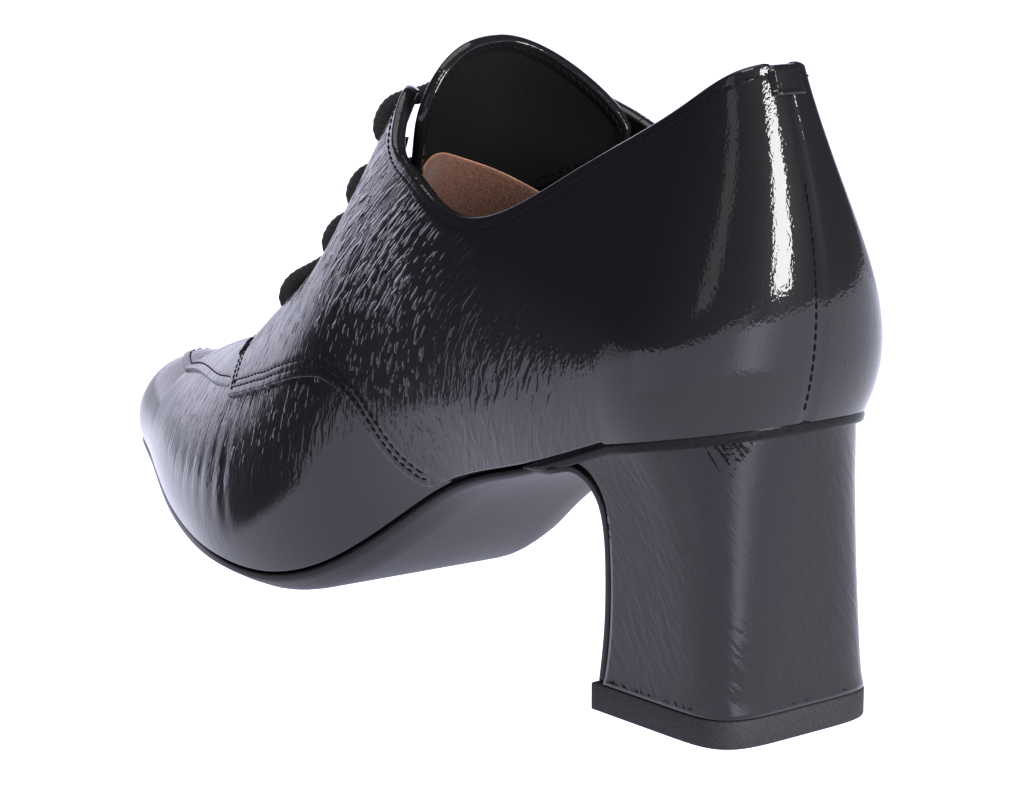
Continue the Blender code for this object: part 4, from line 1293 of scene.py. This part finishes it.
def smooth_path(points, count):
    """A smooth curve through a few points."""
    points = np.asarray(points, float)
    run = run_along(points)
    curves = [smooth_curve(run, points[:, k]) for k in range(3)]
    return np.array([[float(curve(at)) for curve in curves] for at in np.linspace(0, run[-1], count)])


def lace_spot(side, along, across, clear):
    """A place on a facing, the way out of it, and that place lifted clear of it."""
    lap = lap_at(along)
    line = last_point(side, lap, FACING_RISES)
    k = int(np.clip(np.argmin(np.abs(np.abs(line[:, 1]) - across)), 1, len(line) - 2))
    up = line[k + 1] - line[k - 1]
    back, ahead = (last_point(side, lap + step, FACING_RISES[k])[0] for step in (-FACING_STEP, FACING_STEP))
    out = unit(np.cross(up, ahead - back)) * SIDES[side]
    return line[k], out, line[k] + out * clear


def lace_path(near_along, far_along, half, lift):
    """Middle line of a lace bar: out of an eyelet, up the facing, over the throat and down the other side."""
    clear = QUARTER_WALL - OVERLAY_INSET + LACE_REST + LACE_RADIUS
    edge = float(line_at((near_along + far_along) / 2, THROAT, THROAT_COLUMNS, "half_gap"))
    ways = []
    for side, along in (("near", near_along), ("far", far_along)):
        eyelet, out, _ = lace_spot(side, along, half, clear)
        rest = [lace_spot(side, along, across, clear)[2] for across in (half - LACE_BEND, edge)]
        ways.append([eyelet - out * LACE_HIDDEN, eyelet + out * LACE_RISE] + rest)
    near, far = ways
    middle = (near[-1] + far[-1]) / 2 + np.array([0.0, 0.0, lift])
    spots = near + [middle] + far[::-1]
    apart = [spot for before, spot in zip(spots, spots[1:]) if np.linalg.norm(spot - before) > LACE_REST]
    return [spots[0]] + apart


def make_laces():
    """Lace bars that run out of one facing and into the other."""
    for number, row in enumerate(LACE_BARS, start=1):
        path = smooth_path(lace_path(**dict(zip(LACE_COLUMNS, row))), LACE_STEPS)
        verts, faces = tube(path, LACE_RADIUS, braid=LACE_BRAID)
        piece(f"lace_{number}", verts, faces, [LACE_CLOTH], "lace", f"lace_bar_{number}")


STITCH_LENGTH = 1.35
STITCH_PITCH = 1.9
STITCH_RADIUS = 0.16
STITCH_STEPS = 7
STITCH_SIDES = 6
STITCH_BOW = (0.6, 1.7, 0.9)
SEAM_LAP = -0.988
SEAM_FOOT = 0.03
SEAM_STEPS = 160
TRY_EVERY = 8


def row_beside(path, skin, gap):
    """A path at a distance from an edge, lying on a skin."""
    points, normals = skin["points"], skin["normals"]
    _, which = distance_to(path, points)
    beside = np.cross(normals[which], unit(np.gradient(path, axis=0))) * gap
    ways = [path + beside, path - beside]
    moved = min(ways, key=lambda way: distance_to(way[::TRY_EVERY], points)[0].mean())
    _, which = distance_to(moved, points)
    normal = normals[which]
    lift = np.sum((points[which] - moved) * normal, axis=1)
    return moved + normal * lift[:, None], normal


def bowed(count, radius, power, gain, sunk):
    """Heights of a short thread over a skin, with both of its ends sunk into it."""
    return (radius * (gain * np.sin(np.linspace(0, math.pi, count)) ** power - sunk))[:, None]


def stitch_row(path, normals):
    """Stitches along a path, as points and faces of each one."""
    run = run_along(path)
    stitches = []
    for begin in np.arange(STITCH_PITCH / 2, run[-1] - STITCH_PITCH, STITCH_PITCH):
        at = np.linspace(begin, begin + STITCH_LENGTH, STITCH_STEPS)
        height = bowed(STITCH_STEPS, STITCH_RADIUS, *STITCH_BOW)
        thread = points_at(at, run, path) + points_at(at, run, normals) * height
        stitches.append(tube(thread, STITCH_RADIUS, STITCH_SIDES))
    return stitches


def make_stitches(name, rows):
    """One object for several rows of stitches."""
    stitches = [stitch for row in rows for stitch in stitch_row(*row)]
    piece(name, *join(stitches), [THREAD], "lace")


TACK_COLUMNS = ("along_from", "rise_from", "along_to", "rise_to")
TACKS = ((171.4, 0.668, 167.2, 0.672), (169.4, 0.625, 165.2, 0.632))
TACK_RADIUS = 0.42
TACK_STEPS = 24
TACK_SIDES = 8
TACK_BOW = (0.4, 1.4, 0.9)


def make_bar_tacks(skin):
    """Two thick stitches on each side, where the quarter's front edge meets the throat."""
    tacks = []
    for side in SIDES:
        for row in TACKS:
            tack = dict(zip(TACK_COLUMNS, row))
            along = np.linspace(tack["along_from"], tack["along_to"], TACK_STEPS)
            rise = np.linspace(tack["rise_from"], tack["rise_to"], TACK_STEPS)
            path = np.array([last_point(side, lap_at(a), r)[0] for a, r in zip(along, rise)])
            spots, normals = row_beside(path, skin, 0.0)
            thread = spots + normals * bowed(TACK_STEPS, TACK_RADIUS, *TACK_BOW)
            tacks.append(tube(thread, TACK_RADIUS, TACK_SIDES))
    piece("bar_tacks", *join(tacks), [THREAD], "lace")


# Light, floor and camera

FLOOR_HALF = 6.0
FLOOR_DROP = 0.0004
# Height of the sheet that carries the painted reflection, just above the floor
REFLECTION_SHEET_DROP = 0.0003
FLOOR_GLOW = 1.0
GLOW_TINT = (0.97, 0.98, 1.24, 1.0)
FLOOR_GREY = (0.35, 0.35, 0.35)
# Painted reflection of dark cloths: grey and darkening of a glowing sheet seen only in the gloss, and where
# its dark parts lie
REFLECTED_DARK_GREY = (0.02, 0.02, 0.02)
REFLECTED_DARKENING = 0.96
TABLE_SLANT = 0.82
TABLE_EDGE = (0.049, 0.037)
REFLECTED_DARK_SLANT = 0.283
REFLECTED_DARK_SIDE = (0.028, 0.05)
REFLECTED_DARK_FROM = (-0.036, -0.056)
FALL_BESIDE = (0.75, 0.95)
DIM_AHEAD = (-0.13, -0.34)
DIM = 0.45
FALL_BEHIND = (0.68, 0.90)
FALL_WITHIN = (0.40, 0.25)
# Glowing card seen only in the gloss: painted reflection round the heel, with a painted highlight at its
# middle
CARD_SPOT = (0.018, 0.113)
CARD_REACH = 0.15
CARD_HEIGHT = 0.062
CARD_TURNS = (-45.0, 115.0)
CARD_STEPS = 40
CARD_PAINTED_GLOW = (1.1, 1.9)
CARD_HIGHLIGHT_MIDDLE = (4.0, 15.0)
ROOM = 0.012
BACKDROP = 1.35
BACKDROP_TURN = math.radians(-158.0)
BACKDROP_SIDES = (0.74, 0.90)
BACKDROP_TOP = (0.55, 0.36)
ROOM_TINT = (0.95, 0.93, 1.15, 1.0)
# Lights: name, spot, target, width and height in metres, power in watts
LIGHTS = (
    ("overhead", (0.0, -0.3, 1.6), (0.0, -0.1, 0.0), (1.2, 1.2), 10.0),
    ("window", (-0.34, 1.59, 0.52), (0.0, 0.1, 0.09), (0.45, 0.84), 36.0),
    ("strip_high", (1.17, 0.71, 0.58), (0.0, 0.1, 0.09), (0.36, 0.62), 0.7),
    ("fill", (0.45, 1.0, 1.3), (0.0, 0.0, 0.1), (0.5, 0.5), 9.0),
)


def stage_sheet(name, corners, faces, finish, seen=True):
    """A sheet of the studio, which is no part of the shoe. One that isn't seen shows in the gloss alone."""
    mesh = bpy.data.meshes.new(name)
    mesh.from_pydata(corners, [], faces)
    mesh.materials.append(finish)
    sheet = bpy.data.objects.new(name, mesh)
    bpy.context.scene.collection.objects.link(sheet)
    sheet.visible_camera = seen
    sheet.visible_shadow = seen
    return sheet


def flat_square(height):
    """Corners of a wide level square round the shoe."""
    return [(x * FLOOR_HALF, y * FLOOR_HALF, height) for x, y in ((-1, -1), (1, -1), (1, 1), (-1, 1))]


def glowing(name, strength):
    """White finish that shines by itself, like a table lit from below."""
    finish, tree, shader = new_finish(name, FLOOR_GREY, 0.9, Specular_IOR_Level=0.0)
    shader.inputs["Emission Color"].default_value = GLOW_TINT
    shader.inputs["Emission Strength"].default_value = strength
    return finish, tree, shader


def make_floor():
    """Plain pale floor, lit from within like a photographer's table."""
    finish, _, _ = glowing("floor_white", FLOOR_GLOW)
    stage_sheet("floor", flat_square(-FLOOR_DROP), [(0, 1, 2, 3)], finish)


def make_painted_reflection_sheet():
    """Painted reflection of dark cloths beside and behind the table: a glowing copy of the floor that darkens
    there, dims ahead of the shoe and shows in the gloss alone, and the floor stays white.
    """
    finish, tree, shader = glowing("painted_reflection_floor", FLOOR_GLOW)
    spot = node(tree, "ShaderNodeSeparateXYZ")
    tree.links.new(node(tree, "ShaderNodeNewGeometry").outputs["Position"], spot.inputs["Vector"])
    x, y = spot.outputs["X"], spot.outputs["Y"]
    edge = math_node(tree, "MULTIPLY_ADD", x, TABLE_SLANT, y)
    side = math_node(tree, "MULTIPLY_ADD", y, REFLECTED_DARK_SLANT, x)
    beside = times(tree, soft_step(tree, edge, *TABLE_EDGE), soft_step(tree, side, *REFLECTED_DARK_SIDE))
    beside = times(tree, beside, soft_step(tree, y, *REFLECTED_DARK_FROM))
    behind = times(tree, soft_step(tree, x, *FALL_WITHIN), soft_step(tree, y, *FALL_BEHIND))
    far = math_node(tree, "MAXIMUM", behind, soft_step(tree, x, *FALL_BESIDE))
    dim = times(tree, soft_step(tree, y, *DIM_AHEAD), DIM)
    # Painted reflection: the sheet's glow is darkened beside, behind and ahead of the table
    reflected_dark = math_node(tree, "MAXIMUM", math_node(tree, "MAXIMUM", beside, far), dim)
    painted_glow = math_node(tree, "MULTIPLY_ADD", reflected_dark, -FLOOR_GLOW * REFLECTED_DARKENING, FLOOR_GLOW)
    tree.links.new(painted_glow, shader.inputs["Emission Strength"])
    ramp = node(tree, "ShaderNodeValToRGB")
    for element, grey in zip(ramp.color_ramp.elements, (FLOOR_GREY, REFLECTED_DARK_GREY)):
        element.color = (*grey, 1.0)
    tree.links.new(reflected_dark, ramp.inputs["Fac"])
    tree.links.new(ramp.outputs["Color"], shader.inputs["Base Color"])
    stage_sheet("painted_reflection_sheet", flat_square(-REFLECTION_SHEET_DROP), [(0, 1, 2, 3)], finish, seen=False)


def make_painted_highlight_card():
    """Low white card round the back of the heel that glows, brighter in its middle: a painted reflection with
    a painted highlight on the heel. It shows in the gloss alone.
    """
    turns = np.linspace(*CARD_TURNS, CARD_STEPS)
    corners = [(CARD_SPOT[0] + CARD_REACH * math.sin(way), CARD_SPOT[1] + CARD_REACH * math.cos(way), up)
               for way in np.radians(turns) for up in (0.0, CARD_HEIGHT)]
    faces = [(k, k + 1, k + 3, k + 2) for k in range(0, len(corners) - 2, 2)]
    finish, tree, shader = glowing("painted_highlight_finish", CARD_PAINTED_GLOW[0])
    card = stage_sheet("painted_highlight_card", corners, faces, finish, seen=False)
    card.visible_diffuse = False
    # Painted highlight: the card glows brighter round its middle
    painted_glow = CARD_PAINTED_GLOW[0] + CARD_PAINTED_GLOW[1] * np.exp(-((turns - CARD_HIGHLIGHT_MIDDLE[0]) / CARD_HIGHLIGHT_MIDDLE[1]) ** 2)
    layer = card.data.attributes.new("painted_glow", "FLOAT", "POINT")
    layer.data.foreach_set("value", np.repeat(painted_glow, 2).astype(np.float32))
    tree.links.new(node(tree, "ShaderNodeAttribute", attribute_name="painted_glow").outputs["Fac"],
                   shader.inputs["Emission Strength"])


def area_light(name, spot, target, size, power):
    """A soft light of a given width and height, in metres, that faces a target."""
    lamp = bpy.data.lights.new(name, "AREA")
    lamp.shape = "RECTANGLE"
    lamp.size, lamp.size_y = size
    lamp.energy = power
    thing = bpy.data.objects.new(name, lamp)
    bpy.context.scene.collection.objects.link(thing)
    thing.location = spot
    thing.visible_camera = False
    thing.rotation_euler = (Vector(target) - Vector(spot)).to_track_quat("-Z", "Y").to_euler()


def make_world():
    """Dark room with a bright backdrop beyond the toe."""
    world = bpy.context.scene.world or bpy.data.worlds.new("studio")
    bpy.context.scene.world = world
    world.use_nodes = True
    tree = world.node_tree
    background = tree.nodes["Background"]
    background.inputs["Color"].default_value = ROOM_TINT
    way = node(tree, "ShaderNodeTexCoord").outputs["Generated"]
    facing = node(tree, "ShaderNodeVectorMath", operation="DOT_PRODUCT")
    facing.inputs[1].default_value = (math.sin(BACKDROP_TURN), math.cos(BACKDROP_TURN), 0.0)
    tree.links.new(way, facing.inputs[0])
    height = node(tree, "ShaderNodeSeparateXYZ")
    tree.links.new(way, height.inputs["Vector"])
    lit = times(tree, soft_step(tree, facing.outputs["Value"], *BACKDROP_SIDES),
                soft_step(tree, height.outputs["Z"], *BACKDROP_TOP))
    tree.links.new(math_node(tree, "MULTIPLY_ADD", lit, BACKDROP, ROOM), background.inputs["Strength"])


def make_lights():
    """A wide light overhead, a bright one behind the heel, a dim strip beside it and a weak fill."""
    for light in LIGHTS:
        area_light(*light)


def make_camera():
    """Camera at the photograph's angle."""
    level = math.cos(VIEW_HEIGHT)
    away = (-math.cos(VIEW_TURN) * level, math.sin(VIEW_TURN) * level, math.sin(VIEW_HEIGHT))
    spot = np.array(VIEW_SPOT)
    lens = bpy.data.cameras.new("camera")
    lens.lens = VIEW_LENS
    lens.sensor_width = VIEW_SENSOR
    lens.sensor_fit = "HORIZONTAL"
    lens.clip_start = 0.01
    lens.clip_end = 50.0
    camera = bpy.data.objects.new("camera", lens)
    bpy.context.scene.collection.objects.link(camera)
    camera.location = place(spot + np.array(away) * VIEW_DISTANCE)
    camera.rotation_euler = (Vector(place(spot)) - camera.location).to_track_quat("-Z", "Y").to_euler()
    bpy.context.scene.camera = camera
    bpy.context.scene.view_settings.view_transform = "Standard"


def main():
    """The studio, then the shoe's pieces, then the stitches on their skins."""
    make_camera()
    make_floor()
    make_painted_reflection_sheet()
    make_painted_highlight_card()
    make_world()
    make_lights()
    make_vamp()
    quarters = make_quarters()
    apron = make_apron()
    make_heel_tab()
    tongue = make_tongue()
    make_tongue_pad()
    make_insole()
    make_outsole()
    make_heel()
    make_heel_band()
    make_top_lift()
    make_laces()
    front_rows = [row_beside(path, quarters, gap) for path in quarters["fronts"] for gap in FRONT_STITCHES]
    make_stitches("quarter_stitches", front_rows)
    seam_top = top_rise("near", SEAM_LAP) - TAB_DEPTH
    seam = last_point("near", SEAM_LAP, np.linspace(SEAM_FOOT, seam_top, SEAM_STEPS))
    make_stitches("seam_stitches", [row_beside(seam, quarters, 0.0)])
    make_bar_tacks(quarters)
    make_stitches("collar_stitches", [row_beside(quarters["top"], quarters, COLLAR_STITCH)])
    make_stitches("apron_stitches", [row_beside(apron["edge"], apron, APRON_STITCH)])
    make_stitches("tongue_stitches", [row_beside(tongue["edge"], tongue, TONGUE_STITCH)])


main()
